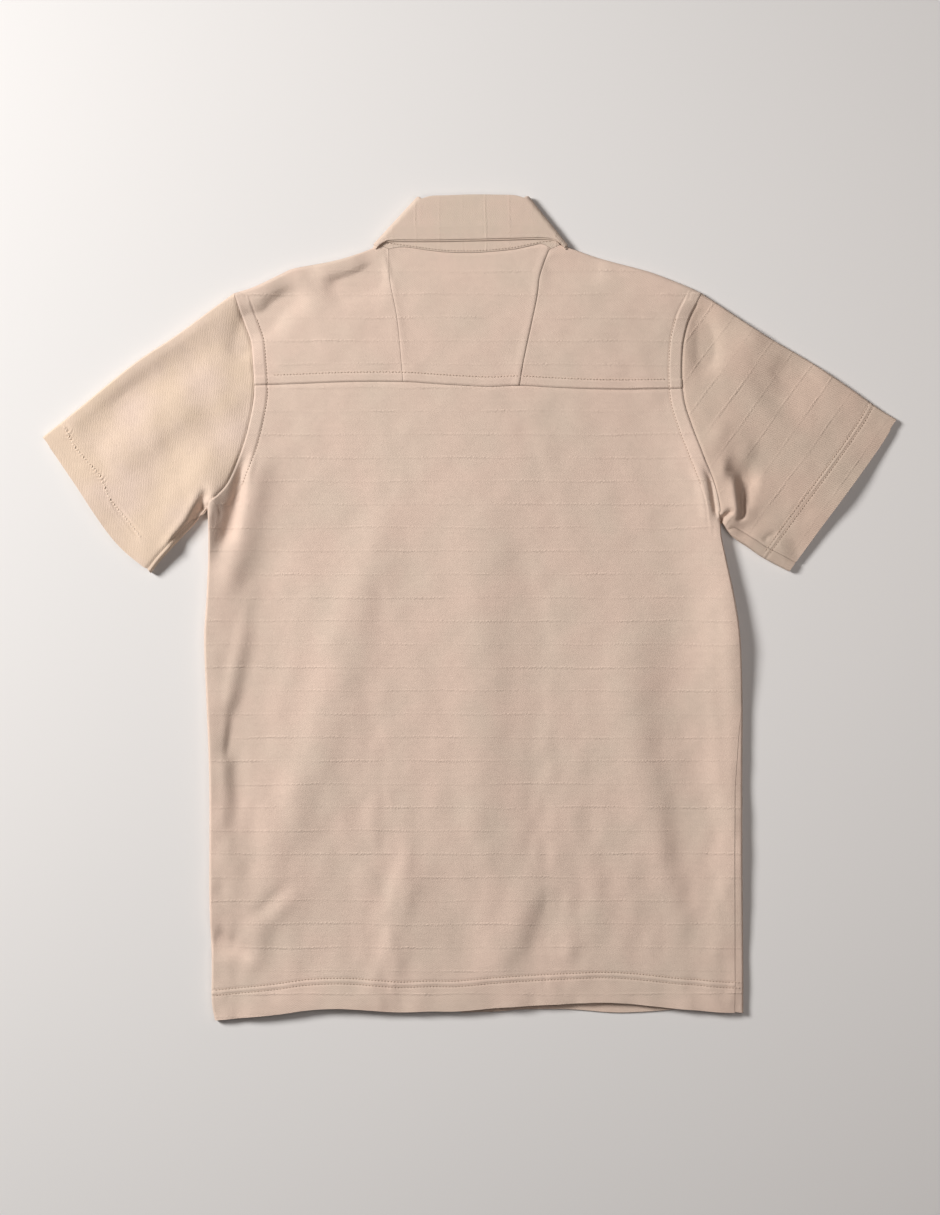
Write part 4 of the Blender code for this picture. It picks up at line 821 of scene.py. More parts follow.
def yoke_seam_stations():
    """The points of the yoke seam, with one at each saddle seam."""
    line = curve(YOKE_SEAM)
    run = run_of(line)
    total = np.linalg.norm(np.diff(line, axis=0), axis=1).sum()
    reach = SEAM_ROW_REACH / total
    cuts = []
    for side in (-1, 1):
        gap = np.linalg.norm(line - np.array(SADDLE_SEAM[side][-1]), axis=1)
        cuts.append(run[np.argmin(gap)])
    parts = [
        reach * (1 - EDGE_STEPS),
        reach + (cuts[0] - reach) * graded(YOKE_COLUMNS[0])[1:],
        cuts[0] + (cuts[1] - cuts[0]) * graded(YOKE_COLUMNS[1])[1:],
        cuts[1] + (1 - reach - cuts[1]) * graded(YOKE_COLUMNS[2])[1:],
        1 - reach * EDGE_STEPS[1:],
    ]
    return at(line, np.concatenate(parts))


def side_seam_place(side, rows_before, face):
    marks = SIDE_SEAM[side]
    places = np.interp(SIDE_STEPS, [m[0] for m in marks], [m[1] for m in marks])
    before = np.zeros(rows_before)
    before[-len(UNDERARM_TURN):] = face * UNDERARM_TURN
    return np.concatenate([before, places])


def opening_radius(fractions, reach):
    """A turned edge's radius, tight where it starts at the underarm."""
    return TIGHT_RADIUS + (EDGE_RADIUS - TIGHT_RADIUS) * smooth(fractions / reach)


def side_radius(rows_before):
    """The radius of the body's edge, after the rows of the armhole."""
    body = opening_radius(SIDE_STEPS, SIDE_OPENING)
    return np.concatenate([np.full(rows_before, body[0]), body])


def body_edge(side, face, armhole_line, arm_steps, inward_ends, height, steps):
    """Armhole rows, then side rows of the back (face 1) or of a front (face -1)."""
    rows = len(arm_steps) - 1
    arm = at(curve(armhole_line), arm_steps)
    line = np.vstack([arm, at(curve(SIDE_EDGE[side]), SIDE_STEPS)[1:]])
    inward = blend(unit(inward_ends[0]), unit(inward_ends[1]), len(line))
    seam_rows = rows - len(UNDERARM_TURN)
    turn = edge(line, inward, inward, side_radius(rows), height, seam_rows)
    end = side_seam_place(side, rows, face)[:, None]
    return turned(turn, end + (face * EDGE_START - end) * steps, upward=face > 0)


def back_side(side, seam, hem):
    """Edge of the back on one side."""
    first = seam[1] - seam[0] if side < 0 else seam[-2] - seam[-1]
    last = hem[1] - hem[0] if side < 0 else hem[-2] - hem[-1]
    return body_edge(side, 1, ARMHOLE_BACK[side], BACK_ARM_STEPS, (first, last), bottom, EDGE_STEPS)


def make_back(seam):
    """The back from the yoke seam to the hem. Returns its armhole borders too."""
    hem = curve(BACK_HEM)
    left, left_normals = back_side(-1, seam, hem)
    right, right_normals = back_side(1, seam, hem)
    cut = len(EDGE_STEPS) - 1
    first = seam[cut:len(seam) - cut]
    inner_hem = hem[(hem[:, 0] >= left[-1, 0, 0]) & (hem[:, 0] <= right[-1, 0, 0])]
    inner_hem = np.vstack([left[-1, 0, :2], inner_hem, right[-1, 0, :2]])
    last = at(inner_hem, run_of(first))
    xy = fill(first, last, left[:, 0, :2], right[:, 0, :2])
    middle, middle_normals = laid(xy, top, True)
    points = np.concatenate([left[:, ::-1], middle[:, 1:-1], right], axis=1)
    normals = np.concatenate([left_normals[:, ::-1], middle_normals[:, 1:-1], right_normals], axis=1)
    points[0, :, :2] = seam
    points[0], normals[0] = laid(seam, top, True)
    borders = {
        -1: border_of(points, normals, np.s_[:ARM_ROWS + 1, 0]),
        1: border_of(points, normals, np.s_[:ARM_ROWS + 1, -1]),
    }
    thick = hem_thickness(points, BACK_HEM, BODY_HEM)
    shell("back", trim(points, normals, ("first", "left", "right")), normals, thick, back_relief)
    return borders


def shoulder_turn(side, fractions):
    """The shoulder's turned edge from the neck to the armhole."""
    line = at(curve(SHOULDER_EDGE[side]), fractions)
    square = perpendicular(line, (0.0, 0.0))
    near_neck = smooth(1 - fractions / NEAR_NECK)[:, None]
    near_arm = smooth((fractions - 1 + NEAR_ARM) / NEAR_ARM)[:, None]
    middle = 1 - near_neck - near_arm
    directions = []
    for face in (0, 1):
        neck = np.array(NECK_CROSSING[side][face])
        arm = np.array(ARM_CROSSING[side][face])
        directions.append(unit(near_neck * neck + near_arm * arm + middle * square))
    radius = SHOULDER_RADIUS[0] + SHOULDER_RADIUS[1] * smooth(fractions / SHOULDER_RADIUS[2])
    return edge(line, directions[0], directions[1], radius, bottom)


def make_side_yoke(side, seam):
    """One side of the yoke, over the shoulder to the forward seam. Returns its two borders."""
    cut = len(EDGE_STEPS) + YOKE_COLUMNS[0 if side < 0 else 2]
    stations = seam[:cut][::-1] if side < 0 else seam[-cut:]
    fractions = run_of(stations)
    turn = shoulder_turn(side, fractions)
    over, over_normals = turned(turn, np.tile((YOKE_EDGE_START,) + ROLL, (cut, 1)))
    over, over_normals = over.transpose(1, 0, 2), over_normals.transpose(1, 0, 2)
    saddle = curve([tuple(over[0, 0, :2])] + SADDLE_SEAM[side][1:-1] + [tuple(stations[0])])
    armhole = curve([tuple(over[0, -1, :2])] + ARMHOLE_YOKE[side][1:-1] + [tuple(stations[-1])])
    saddle = at(saddle, graded(YOKE_ROWS))[::-1]
    armhole = at(armhole, graded(YOKE_ROWS))[::-1]
    flat = fill(stations, over[0, :, :2], saddle, armhole)
    upper, upper_normals = laid(flat, top, True)
    seam_under = at(np.array(FORWARD_SEAM[side], float), fractions)
    roll_end = over[-1, :, :2]
    under_xy = np.stack([(roll_end + seam_under) / 2, seam_under])
    under, under_normals = laid(under_xy, bottom, False)
    points = np.concatenate([upper, over[1:], under])
    normals = np.concatenate([upper_normals, over_normals[1:], under_normals])
    name = "yoke_left" if side < 0 else "yoke_right"
    trimmed = trim(points, normals, ("first", "last", "left", "right"))
    shell(name, trimmed, normals, CLOTH, yoke_relief)
    neck = border_of(points, normals, np.s_[YOKE_ROWS:, 0])
    arm = border_of(points, normals, np.s_[:, -1])
    return {"neck": neck, "arm": arm, "saddle": saddle}


def make_centre_yoke(seam, left, right):
    """The yoke's middle panel. Returns its neck border."""
    start = len(EDGE_STEPS) - 1 + YOKE_COLUMNS[0]
    stations = seam[start:start + YOKE_COLUMNS[1] + 1]
    line = [tuple(left["saddle"][-1])] + NECK_SEAM[1:-1] + [tuple(right["saddle"][-1])]
    neck = at(curve(line), run_of(stations))
    xy = fill(stations, neck, left["saddle"], right["saddle"])
    points, normals = laid(xy, top, True)
    border = border_of(points, normals, -1)
    trimmed = trim(points, normals, ("first", "last", "left", "right"))
    shell("yoke_centre", trimmed, normals, CLOTH, yoke_relief)
    return border


def make_front(side):
    """One front, from neck and forward seam to the hem. Returns its neck and armhole borders."""
    height = bottom if side < 0 else bottom_right
    shoulder = np.array(FORWARD_SEAM[side], float)
    hem = curve(FRONT_HEM[side])
    ends = (shoulder[0] - shoulder[1], hem[1] - hem[0])
    outer, outer_normals = body_edge(
        side, -1, ARMHOLE_FRONT[side], FRONT_ARM_STEPS, ends, height, FRONT_EDGE_STEPS
    )
    neck = at(curve(FRONT_NECK[side]), even(FRONT_COLUMNS[0]))[::-1]
    reach = outer[0, 0, :2]
    first = np.vstack([neck, at(np.vstack([shoulder[0], reach]), even(FRONT_COLUMNS[1]))[1:]])
    start = outer[-1, 0, :2]
    beyond = hem[(hem[:, 0] - start[0]) * side < 0]
    last = at(np.vstack([start, beyond]), run_of(first[::-1]))[::-1]
    centre = np.linspace(first[0], last[0], FRONT_CENTRE_POINTS)
    inner = at(centre, run_of(outer[:, 0, :2]))
    xy = fill(first, last, inner, outer[:, 0, :2])
    middle, middle_normals = laid(xy, height, False)
    points = np.concatenate([middle[:, :-1], outer], axis=1)
    normals = np.concatenate([middle_normals[:, :-1], outer_normals], axis=1)
    neck_border = border_of(points, normals, np.s_[0, :FRONT_COLUMNS[0] + 1])
    arm_border = border_of(points, normals, np.s_[:len(FRONT_ARM_STEPS), -1])
    thick = hem_thickness(points, FRONT_HEM[side], BODY_HEM)
    name = "front_left" if side < 0 else "front_right"
    shell(name, trim(points, normals, ("first", "left", "right")), normals, thick)
    return {"neck": neck_border, "arm": arm_border, "inner": points[:, 0].copy()}


def make_placket(side, front):
    """The band along one front's edge. The left one lies outermost, which is lowest here."""
    height = bottom if side < 0 else placket_right_height
    inner = at(front["inner"][:, :2], PLACKET_ROWS)
    far = inner - side * np.array([2 * PLACKET_HALF, 0.0])
    far[0, 1] = inner[0, 1] - PLACKET_NECK_DROP
    far[-1, 1] -= PLACKET_HEM_DROP[side]
    xy = np.stack([inner * (1 - t) + far * t for t in even(PLACKET_COLUMNS)], axis=1)
    points, normals = laid(xy, height, False)
    name = "placket_left" if side < 0 else "placket_right"
    border = border_of(points, normals, 0)
    shell(name, trim(points, normals, ("left", "first")), normals, CLOTH)
    return border


def placket_right_height(x, y):
    return bottom(x, y) + LAYER


def sleeve_edges(side):
    """Points and normals round the sleeve's upper edge, then round its lower one."""
    rows = SLEEVE_STEPS
    upper_line = at(curve(SLEEVE_UPPER[side]), rows)
    lower_line = at(curve(SLEEVE_LOWER[side]), rows)
    middle = (upper_line + lower_line) / 2
    upper_square = unit(middle - upper_line)
    lower_square = unit(middle - lower_line)
    close = smooth(1 - rows / CROSSING_REACH)[:, None]
    above, below = (
        unit(close * np.array(way) + (1 - close) * upper_square) for way in ARM_CROSSING[side]
    )
    upper_turn = edge(upper_line, above, below, EDGE_RADIUS, bottom)
    radius = opening_radius(rows, SLEEVE_OPENING)
    lower_turn = edge(lower_line, lower_square, lower_square, radius, bottom)
    seam = UNDERARM_SEAM[side] * smooth(rows / SLEEVE_OPENING)[:, None]
    over = turned(upper_turn, np.tile((YOKE_EDGE_START,) + ROLL, (len(rows), 1)))
    return over, turned(lower_turn, seam + (-EDGE_START - seam) * SLEEVE_EDGE_STEPS)


def starting_at(line, first):
    """The line seen from above, started where the armhole has it."""
    moved = line[:, :2].copy()
    moved[0] = first[:2]
    return moved


def make_sleeve(side, back_arm, yoke_arm, front_arm):
    """One sleeve: a flattened tube, from the seam on top round the upper edge and back."""
    cuff = curve(CUFF[side])
    arm_points, arm_normals = (
        np.concatenate([back_arm[k][::-1], yoke_arm[k][1:], front_arm[k][1:]]) for k in (0, 1)
    )
    on_top = ARM_ROWS + YOKE_ROWS
    roll_end = on_top + len(ROLL)
    bottom_end = len(arm_points) - len(SLEEVE_EDGE_STEPS)
    (over, over_normals), (lower, lower_normals) = sleeve_edges(side)
    seam_line = starting_at(lower[:, -1], arm_points[0])
    upper_side = starting_at(over[:, 0], arm_points[on_top])
    lower_side = starting_at(lower[:, 0], arm_points[bottom_end])
    arm_top = arm_points[:on_top + 1, :2]
    top_cuff = at(cuff_part(cuff, seam_line[-1], over[-1, 0, :2]), run_of(arm_top))
    top_points, top_normals = laid(fill(arm_top, top_cuff, seam_line, upper_side), top, True)
    top_points[:, 0] = lower[:, -1]
    top_normals[:, 0] = lower_normals[:, -1]
    arm_under = arm_points[roll_end:bottom_end + 1, :2]
    cuff_under = at(cuff_part(cuff, over[-1, -1, :2], lower_side[-1]), even(bottom_end - roll_end))
    low_points, low_normals = laid(
        fill(arm_under, cuff_under, over[:, -1, :2], lower_side), bottom, False
    )
    points = np.concatenate([top_points, over[:, 1:], low_points[:, 1:], lower[:, 1:]], axis=1)
    normals = np.concatenate(
        [top_normals, over_normals[:, 1:], low_normals[:, 1:], lower_normals[:, 1:]], axis=1
    )
    blending = 1.0 - smooth(SLEEVE_STEPS / ARMHOLE_BLEND)[:, None, None]
    points = points + (arm_points - points[0]) * blending
    normals = unit(normals + (arm_normals - normals[0]) * blending)
    thick = hem_thickness(points, CUFF[side], SLEEVE_HEM)
    name = "sleeve_left" if side < 0 else "sleeve_right"
    relief = sleeve_relief(side, points[:, 0, :2])
    shell(name, trim(points, normals, ("first", "left", "right")), normals, thick, relief)


def cuff_part(cuff, start, end):
    """The part of the cuff line between two points near it."""
    direction = end - start
    length = np.linalg.norm(direction)
    along = (cuff - start) @ direction / length
    kept = cuff[(along > CUFF_MARGIN) & (along < length - CUFF_MARGIN)]
    if len(kept) and np.linalg.norm(kept[0] - start) > np.linalg.norm(kept[-1] - start):
        kept = kept[::-1]
    return np.vstack([start, kept, end])


def neck_loop(neck_back, yokes, fronts, plackets):
    """Neck seam from the left band's end round the back to the right one's: points, normals."""
    loops = []
    for k in (0, 1):
        loops.append(np.concatenate([
            plackets[-1][k][::-1], fronts[-1]["neck"][k][1:], yokes[-1]["neck"][k][::-1][1:],
            neck_back[k][1:], yokes[1]["neck"][k][1:], fronts[1]["neck"][k][::-1][1:],
            plackets[1][k][1:],
        ]))
    return loops


def collar_stations():
    """Per station round the neck: turn angle, fold line and leaf edge places, and directions."""
    front = FRONT_COLUMNS[0] + 2
    table = []
    for side in (-1, 1):
        low, high = np.array(CREASE[side][0], float), np.array(CREASE[side][1], float)
        along = unit(high - low)
        inward = np.array([along[1], -along[0]]) * -side
        fold_end = np.array(FRONT_FOLD_END[side], float)
        point = np.array(COLLAR_POINT[side], float)
        crease_fold = high + inward * COLLAR_HALF
        corner = along * CORNER_RISE
        crease_edge = low + inward * COLLAR_HALF
        folds = at(np.vstack([fold_end, crease_fold + corner]), even(front))
        edges = at(curve([point, LEAF_EDGE_FRONT[side], crease_edge]), even(front))
        rows = [(FRONT_ANGLE, fold, leaf, inward) for fold, leaf in zip(folds, edges)]
        for angle in CREASE_TURN:
            rise = corner * abs(np.sin(np.radians(angle)))
            rows.append((angle, crease_fold + rise, crease_edge, inward))
        table.append(rows)
    left, right = table
    start, end = left[-1], right[-1]
    count = YOKE_COLUMNS[1] + 2
    folds = at(curve([tuple(start[1])] + FOLD_LINE[1:-1] + [tuple(end[1])]), even(count))
    edges = at(curve([tuple(start[2])] + LEAF_EDGE[1:-1] + [tuple(end[2])]), even(count))
    back = [(BACK_ANGLE, fold, leaf, start[3]) for fold, leaf in zip(folds[1:-1], edges[1:-1])]
    return left + back + right[::-1]


def collar_point(place, inward, angle, depth, lift=0.0):
    """A point `depth` mm inside the collar's outer face, and the face's normal there."""
    turn = np.radians(angle)
    radius = COLLAR_HALF - depth
    xy = place - inward * np.cos(turn) * radius
    z = COLLAR_HALF + radius * np.sin(turn) + lift
    normal = np.array([*(-inward * np.cos(turn)), np.sin(turn)])
    return np.array([*xy, z]), normal


def closure_lift(side_of_station, x, y):
    """The wearer's right end of the collar lies one layer further in."""
    if side_of_station < 0:
        return 0.0
    near_front = smooth((CLOSURE_TOP - TURN_BACK - y) / EDGE_FADE)
    return float(LAYER * lap(x, y) * near_front)


def leaf_column(place, leaf_edge, inward, angle, lift):
    """Points and normals of the upper collar, from its edge over the folded top."""
    column = [
        collar_point(leaf_edge * (1 - t) + place * t, inward, angle, 0.0) for t in even(LEAF_COLUMNS)
    ]
    last, outer = column[-1]
    centre = last - outer * FOLD_RADIUS
    away = np.array([*unit(place - leaf_edge), 0.0])
    for turn in np.radians(LEAF_TURN):
        direction = outer * np.sin(turn) + away * np.cos(turn)
        rise = np.array([0.0, 0.0, lift * (1 - np.sin(turn)) / 2])
        column.append((centre + direction * FOLD_RADIUS + rise, direction))
    return column


def stand_ends(tops, neck_points):
    """The stand's top edge, carried on past the collar at both ends."""
    for end, direction in ((0, 1), (-1, -1)):
        for step in range(1, PLACKET_COLUMNS + 1):
            reach = STAND_REACH * PLACKET_HALF * step / PLACKET_COLUMNS
            x = FRONT_FOLD_END[-direction][0] + direction * reach
            extra = (np.array([x, STAND_TOP_Y, neck_points[end, 2]]), np.array([0.0, 0.0, -1.0]))
            tops.insert(0 if end == 0 else len(tops), extra)
    return tops


def make_collar(neck):
    """Stand, upper collar and under collar, round the flattened neck."""
    stations = collar_stations()
    neck_points, neck_normals = neck
    leaf, under, tops = [], [], []
    for number, (angle, fold, leaf_edge, inward) in enumerate(stations):
        side = -1 if number < len(stations) / 2 else 1
        lift = closure_lift(side, *fold) if angle == FRONT_ANGLE else 0.0
        leaf.append(leaf_column(fold, leaf_edge, inward, angle, lift))
        under.append([
            collar_point(leaf_edge * (1 - t) + fold * t, inward, angle, LAYER) for t in UNDER_COLUMNS
        ])
        tops.append(collar_point(fold, inward, angle, 2 * LAYER, lift))
    leaf, under, tops = np.array(leaf), np.array(under), np.array(stand_ends(tops, neck_points))
    points, normals = leaf[:, :, 0], leaf[:, :, 1]
    shell("collar_leaf", trim(points, normals, ("right",)), normals, CLOTH, collar_relief)
    shell("collar_under", under[:, :, 0], under[:, :, 1], CLOTH)
    points = np.array([neck_points * (1 - t) + tops[:, 0] * t for t in even(STAND_COLUMNS)])
    normals = np.array([unit(neck_normals * (1 - t) + tops[:, 1] * t) for t in even(STAND_COLUMNS)])
    shell("collar_stand", trim(points, normals, ("first", "last")), normals, CLOTH)


def seam_gap(x, y, line):
    return nearest(x, y, curve(line, 6))[0]


def groove(gap, place):
    return -STITCH_GROOVE * bell(gap - place, STITCH_GROOVE_HALF)


def welt(gap, width):
    """Cloth over a seam's turnings: raised as far as its stitching, rounded off at the seam."""
    near = smooth(gap / WELT_EDGE)
    far = 1.0 - smooth((gap - width + WELT_EDGE / 2) / WELT_EDGE)
    return WELT_HEIGHT * near * far - WELT_DIP * (1.0 - near) + groove(gap, width)


def sunk(gap):
    return -SEAM_DEPTH * bell(gap, SEAM_HALF)


def armhole(side):
    return ARMHOLE_YOKE[side] + ARMHOLE_BACK[side][1:]


def twin_stitched(gap, places):
    """A turned hem's two rows of stitches, with the cloth between them pushed up."""
    between = (places[0] + places[1]) / 2
    raised = TWIN_RISE * bell(gap - between, TWIN_HALF)
    return groove(gap, places[0]) + groove(gap, places[1]) + raised


def back_relief(x, y):
    height = sunk(seam_gap(x, y, YOKE_SEAM))
    for side in (-1, 1):
        height = height + welt(seam_gap(x, y, armhole(side)), ARM_WELT)
    hem = seam_gap(x, y, BACK_HEM)
    length, stray_length, stray = HEM_WAVES
    uneven = np.sin(x / length + stray * np.sin(x / stray_length))
    pucker = HEM_PUCKER * uneven * bell(hem - HEM_STITCHES[0], HEM_PUCKER_HALF)
    return height + twin_stitched(hem, HEM_STITCHES) + pucker


def yoke_relief(x, y):
    height = welt(seam_gap(x, y, YOKE_SEAM), YOKE_WELT)
    for side in (-1, 1):
        height = height + welt(seam_gap(x, y, armhole(side)), ARM_WELT)
        gap = seam_gap(x, y, SADDLE_SEAM[side])
        inside = (x - np.interp(y, *np.array(SADDLE_SEAM[side], float)[::-1, ::-1].T)) * -side > 0
        near = smooth(gap / SADDLE_EDGE)
        raised = SADDLE_RISE * near * (1.0 - smooth((gap - SADDLE_REACH) / SADDLE_FADE))
        seam = np.where(inside, raised, 0.0) - SADDLE_DIP * (1.0 - near)
        height = height + seam * SADDLE_DEPTH[side]
    return height + sunk(seam_gap(x, y, NECK_SEAM))


def collar_relief(x, y):
    """The turnings inside the leaf show through as a low ridge above its edge."""
    gap = seam_gap(x, y, LEAF_EDGE[1:-1])
    height = -LEAF_DIP[0] * (1.0 - smooth(gap / LEAF_DIP[1]))
    for place, rise, half in (LEAF_RIDGE, LEAF_LINE):
        height = height + rise * bell(gap - place, half)
    return height


def sleeve_relief(side, underarm):
    def relief(x, y):
        height = sunk(seam_gap(x, y, armhole(side))) + sunk(nearest(x, y, underarm[::4])[0])
        if side > 0:
            return height + twin_stitched(seam_gap(x, y, CUFF[side]), CUFF_STITCHES)
        gap, place = nearest(x, y, PUCKERED_CUFF)
        waves = np.sin(place * CUFF_WAVES + gap)
        return height + CUFF_PUCKER * waves * bell(gap, CUFF_PUCKER_HALF)
    return relief


def grid_normals(points, like):
    """Unit normals of a grid, on the same side as the rough ones given."""
    normals = unit(np.cross(np.gradient(points, axis=0), np.gradient(points, axis=1)) + 1e-12)
    return normals * np.where(np.sum(normals * like, axis=-1, keepdims=True) < 0, -1.0, 1.0)


def shell(name, points, normals, thick, relief=None):
    """A piece of cloth: the grid with its relief on the upper side, and a second face inside it."""
    if relief:
        upper = smooth(normals[..., 2] / RELIEF_FADE)
        points = points + normals * (relief(points[..., 0], points[..., 1]) * upper)[..., None]
    normals = grid_normals(points, normals)
    rows, columns = points.shape[:2]
    count = rows * columns
    inner = points - normals * np.broadcast_to(thick, (rows, columns))[..., None]
    vertices = np.concatenate([points.reshape(-1, 3), inner.reshape(-1, 3)])
    number = np.arange(count).reshape(rows, columns)
    quads = np.stack([number[:-1, :-1], number[:-1, 1:], number[1:, 1:], number[1:, :-1]], axis=-1)
    quads = quads.reshape(-1, 4)
    ring = np.concatenate([number[0], number[1:, -1], number[-1, -2::-1], number[-2:0:-1, 0]])
    following = np.roll(ring, -1)
    walls = np.stack([following, ring, ring + count, following + count], axis=-1)
    faces = np.concatenate([quads, quads[:, ::-1] + count, walls])
    a, b, d = vertices[quads[:, 0]], vertices[quads[:, 1]], vertices[quads[:, 3]]
    outward = np.sum(np.cross(b - a, d - a) * normals[:-1, :-1].reshape(-1, 3))
    if outward < 0:
        faces = faces[:, ::-1]
    slot, (width, length), area = SHEETS[name]
    material = MATERIALS[slot if name != "sleeve_left" else "left_sleeve_cloth"]
    mesh = new_mesh(name + "_cloth", (vertices + MIDDLE) * MM, faces.tolist(), material)
    mesh.shade_smooth()
    mesh.set_sharp_from_angle(angle=SHARP_ANGLE)
    piece = new_object(name + "_cloth", mesh)
    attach(piece, "root")
    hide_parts(name)


def new_object(name, data):
    made = bpy.data.objects.new(name, data)
    bpy.context.scene.collection.objects.link(made)
    return made


def new_mesh(name, vertices, faces, material):
    mesh = bpy.data.meshes.new(name)
    mesh.from_pydata([tuple(v) for v in vertices], [], faces)
    mesh.materials.append(material)
    return mesh


class Graph:
    """Short calls for building a material's nodes."""

    def __init__(self, name):
        material = bpy.data.materials.new(name)
        material.use_nodes = True
        self.material = material
        self.tree = material.node_tree
        self.surface = self.tree.nodes["Principled BSDF"]

    def put(self, socket, value):
        if isinstance(value, bpy.types.NodeSocket):
            self.tree.links.new(value, socket)
        elif value is not None:
            socket.default_value = value

    def node(self, kind, inputs=(), **settings):
        made = self.tree.nodes.new("ShaderNode" + kind)
        for name, value in settings.items():
            setattr(made, name, value)
        for key, value in dict(inputs).items():
            self.put(made.inputs[key], value)
        return made

    def math(self, operation, a, b=None, clamp=False):
        made = self.node("Math", operation=operation, use_clamp=clamp)
        self.put(made.inputs[0], a)
        self.put(made.inputs[1], b)
        return made.outputs[0]

    def times(self, a, b):
        return self.math("MULTIPLY", a, b)

    def plus(self, a, b):
        return self.math("ADD", a, b)

    def minus(self, a, b):
        return self.math("SUBTRACT", a, b)

    def wave(self, distance, step):
        return self.math("SINE", self.times(distance, 2 * np.pi / step))

    def stretch(self, value, low, gain):
        """0 up to `low`, then rising by `gain` to at most 1."""
        return self.math("MULTIPLY", self.minus(value, low), gain, clamp=True)

    def weighted(self, start, parts, weights):
        """The start plus each named part times its weight."""
        total = start
        for name, weight in weights.items():
            total = self.plus(total, self.times(parts[name], weight))
        return total

    def mix(self, factor, a, b, blend="MIX"):
        made = self.node("Mix", data_type="RGBA", blend_type=blend)
        for socket, value in zip((made.inputs[0], made.inputs[6], made.inputs[7]), (factor, a, b)):
            self.put(socket, value)
        return made.outputs[2]

    def noise(self, vector, scale, detail=2.0, roughness=0.5):
        inputs = {"Vector": vector, "Scale": scale, "Detail": detail, "Roughness": roughness}
        return self.node("TexNoise", inputs).outputs[0]

    def stretched_noise(self, vector, scale, detail=2.0):
        """Noise with its own scale along each axis."""
        spread = self.node("Mapping", {"Vector": vector, "Scale": scale}).outputs[0]
        return self.noise(spread, 1.0, detail)


def ribs(g, mm, v, rib_strength, phase):
    """Thin broken dark lines every RIB_SPACING, not quite straight, partly the knit's own lines and
    partly painted shade, and a raised line with painted highlight above each.
    """
    sway = g.times(g.minus(g.stretched_noise(mm, SWAY_SCALE), 0.5), RIB_SWAY)
    shifted = g.plus(g.plus(v, sway), phase)
    across = g.minus(g.math("FRACT", g.math("DIVIDE", shifted, RIB_SPACING)), 0.5)
    breaks = g.plus(g.stretch(g.stretched_noise(mm, BREAK_SCALE, 3.0), *BREAKS), LEAST_RIB)
    dots = g.stretch(g.stretched_noise(mm, DOT_SCALE, 1.0), *DOTS)
    strength = g.times(g.times(dots, breaks), rib_strength)
    lines = {}
    # The rib line is darkened as painted shade, and the line above it is brightened as painted highlight
    for name, place in (("rib", 0.0), ("rib_highlight", RIB_HIGHLIGHT_GAP / RIB_SPACING)):
        gap = g.times(g.math("ABSOLUTE", g.minus(across, place)), RIB_SPACING)
        line = g.math("SUBTRACT", 1.0, g.math("DIVIDE", gap, RIB_HALF), clamp=True)
        lines[name] = g.times(line, strength)
    return lines


def cloth_material(name, turn, colours, rib_strength, phase):
    """Textured jersey: fine slanting grain, broken ribs across, and soft patches of tint.

    `turn` is the angle of the ribs from +X in degrees. Its coordinates are millimetres.
    """
    g = Graph(name)
    place = g.node("TexCoord").outputs["Object"]
    rotation = (0.0, 0.0, -np.radians(turn))
    along_ribs = g.node("Mapping", {"Vector": place, "Rotation": rotation}).outputs[0]
    mm = g.node("VectorMath", {0: along_ribs, 3: 1.0 / MM}, operation="SCALE").outputs[0]
    split = g.node("SeparateXYZ", {0: mm})
    u, v = split.outputs[0], split.outputs[1]
    parts = ribs(g, mm, v, rib_strength, phase)
    slant = g.plus(g.times(u, GRAIN_SLANT[0]), g.times(v, GRAIN_SLANT[1]))
    wander = g.times(g.noise(mm, *WANDER_NOISE), GRAIN_WANDER)
    fuzz = g.noise(mm, *FUZZ_NOISE)
    knit = {
        "twill": g.wave(g.plus(slant, wander), GRAIN_STEP),
        "rows": g.wave(v, ROW_STEP),
        "fuzz": g.minus(fuzz, 0.5),
    }
    parts["grain"] = g.weighted(0.0, knit, GRAIN_PARTS)
    parts["mottle"] = g.minus(g.noise(mm, *MOTTLE_NOISE), 0.5)
    colour = g.mix(g.stretch(g.noise(mm, *TINT_NOISE), *TINTS), *colours)
    shade = g.weighted(1.0, parts, SHADES)
    grey = g.node("CombineColor", {0: shade, 1: shade, 2: shade}).outputs[0]
    g.put(g.surface.inputs["Base Color"], g.mix(1.0, colour, grey, "MULTIPLY"))
    roughness = g.weighted(CLOTH_ROUGHNESS[0], {"fuzz": fuzz}, {"fuzz": CLOTH_ROUGHNESS[1]})
    g.put(g.surface.inputs["Roughness"], roughness)
    for socket, value in CLOTH_SURFACE.items():
        g.surface.inputs[socket].default_value = value
    height = g.weighted(0.0, parts, HEIGHTS)
    bump = g.node("Bump", {"Height": height, "Distance": MM, "Strength": 1.0})
    g.put(g.surface.inputs["Normal"], bump.outputs[0])
    return g.material


def flecked_material(name, scale, detail, colours, roughness):
    """Two colours mixed by noise, with its own scale along each axis."""
    g = Graph(name)
    place = g.node("TexCoord").outputs["Object"]
    fleck = g.stretched_noise(place, scale, detail)
    g.put(g.surface.inputs["Base Color"], g.mix(fleck, *colours))
    g.surface.inputs["Roughness"].default_value = roughness
    return g.material


def offset_line(line, distance, inside):
    """The line moved sideways, towards the side where `inside` lies."""
    points = curve(line, 10)
    return points + perpendicular(points, inside) * distance


def part_between(line, axis, limits):
    return line[(line[:, axis] > limits[0]) & (line[:, axis] < limits[1])]


def resting(trees, x, y):
    """Where a straight line down meets the cloth, and the cloth's normal there."""
    start = Vector(((x + MIDDLE[0]) * MM, (y + MIDDLE[1]) * MM, ABOVE_CLOTH))
    best = None
    for tree in trees:
        hit, normal, _, _ = tree.ray_cast(start, Vector((0, 0, -1)))
        if hit is not None and (best is None or hit.z > best[0].z):
            best = (hit, normal)
    return best


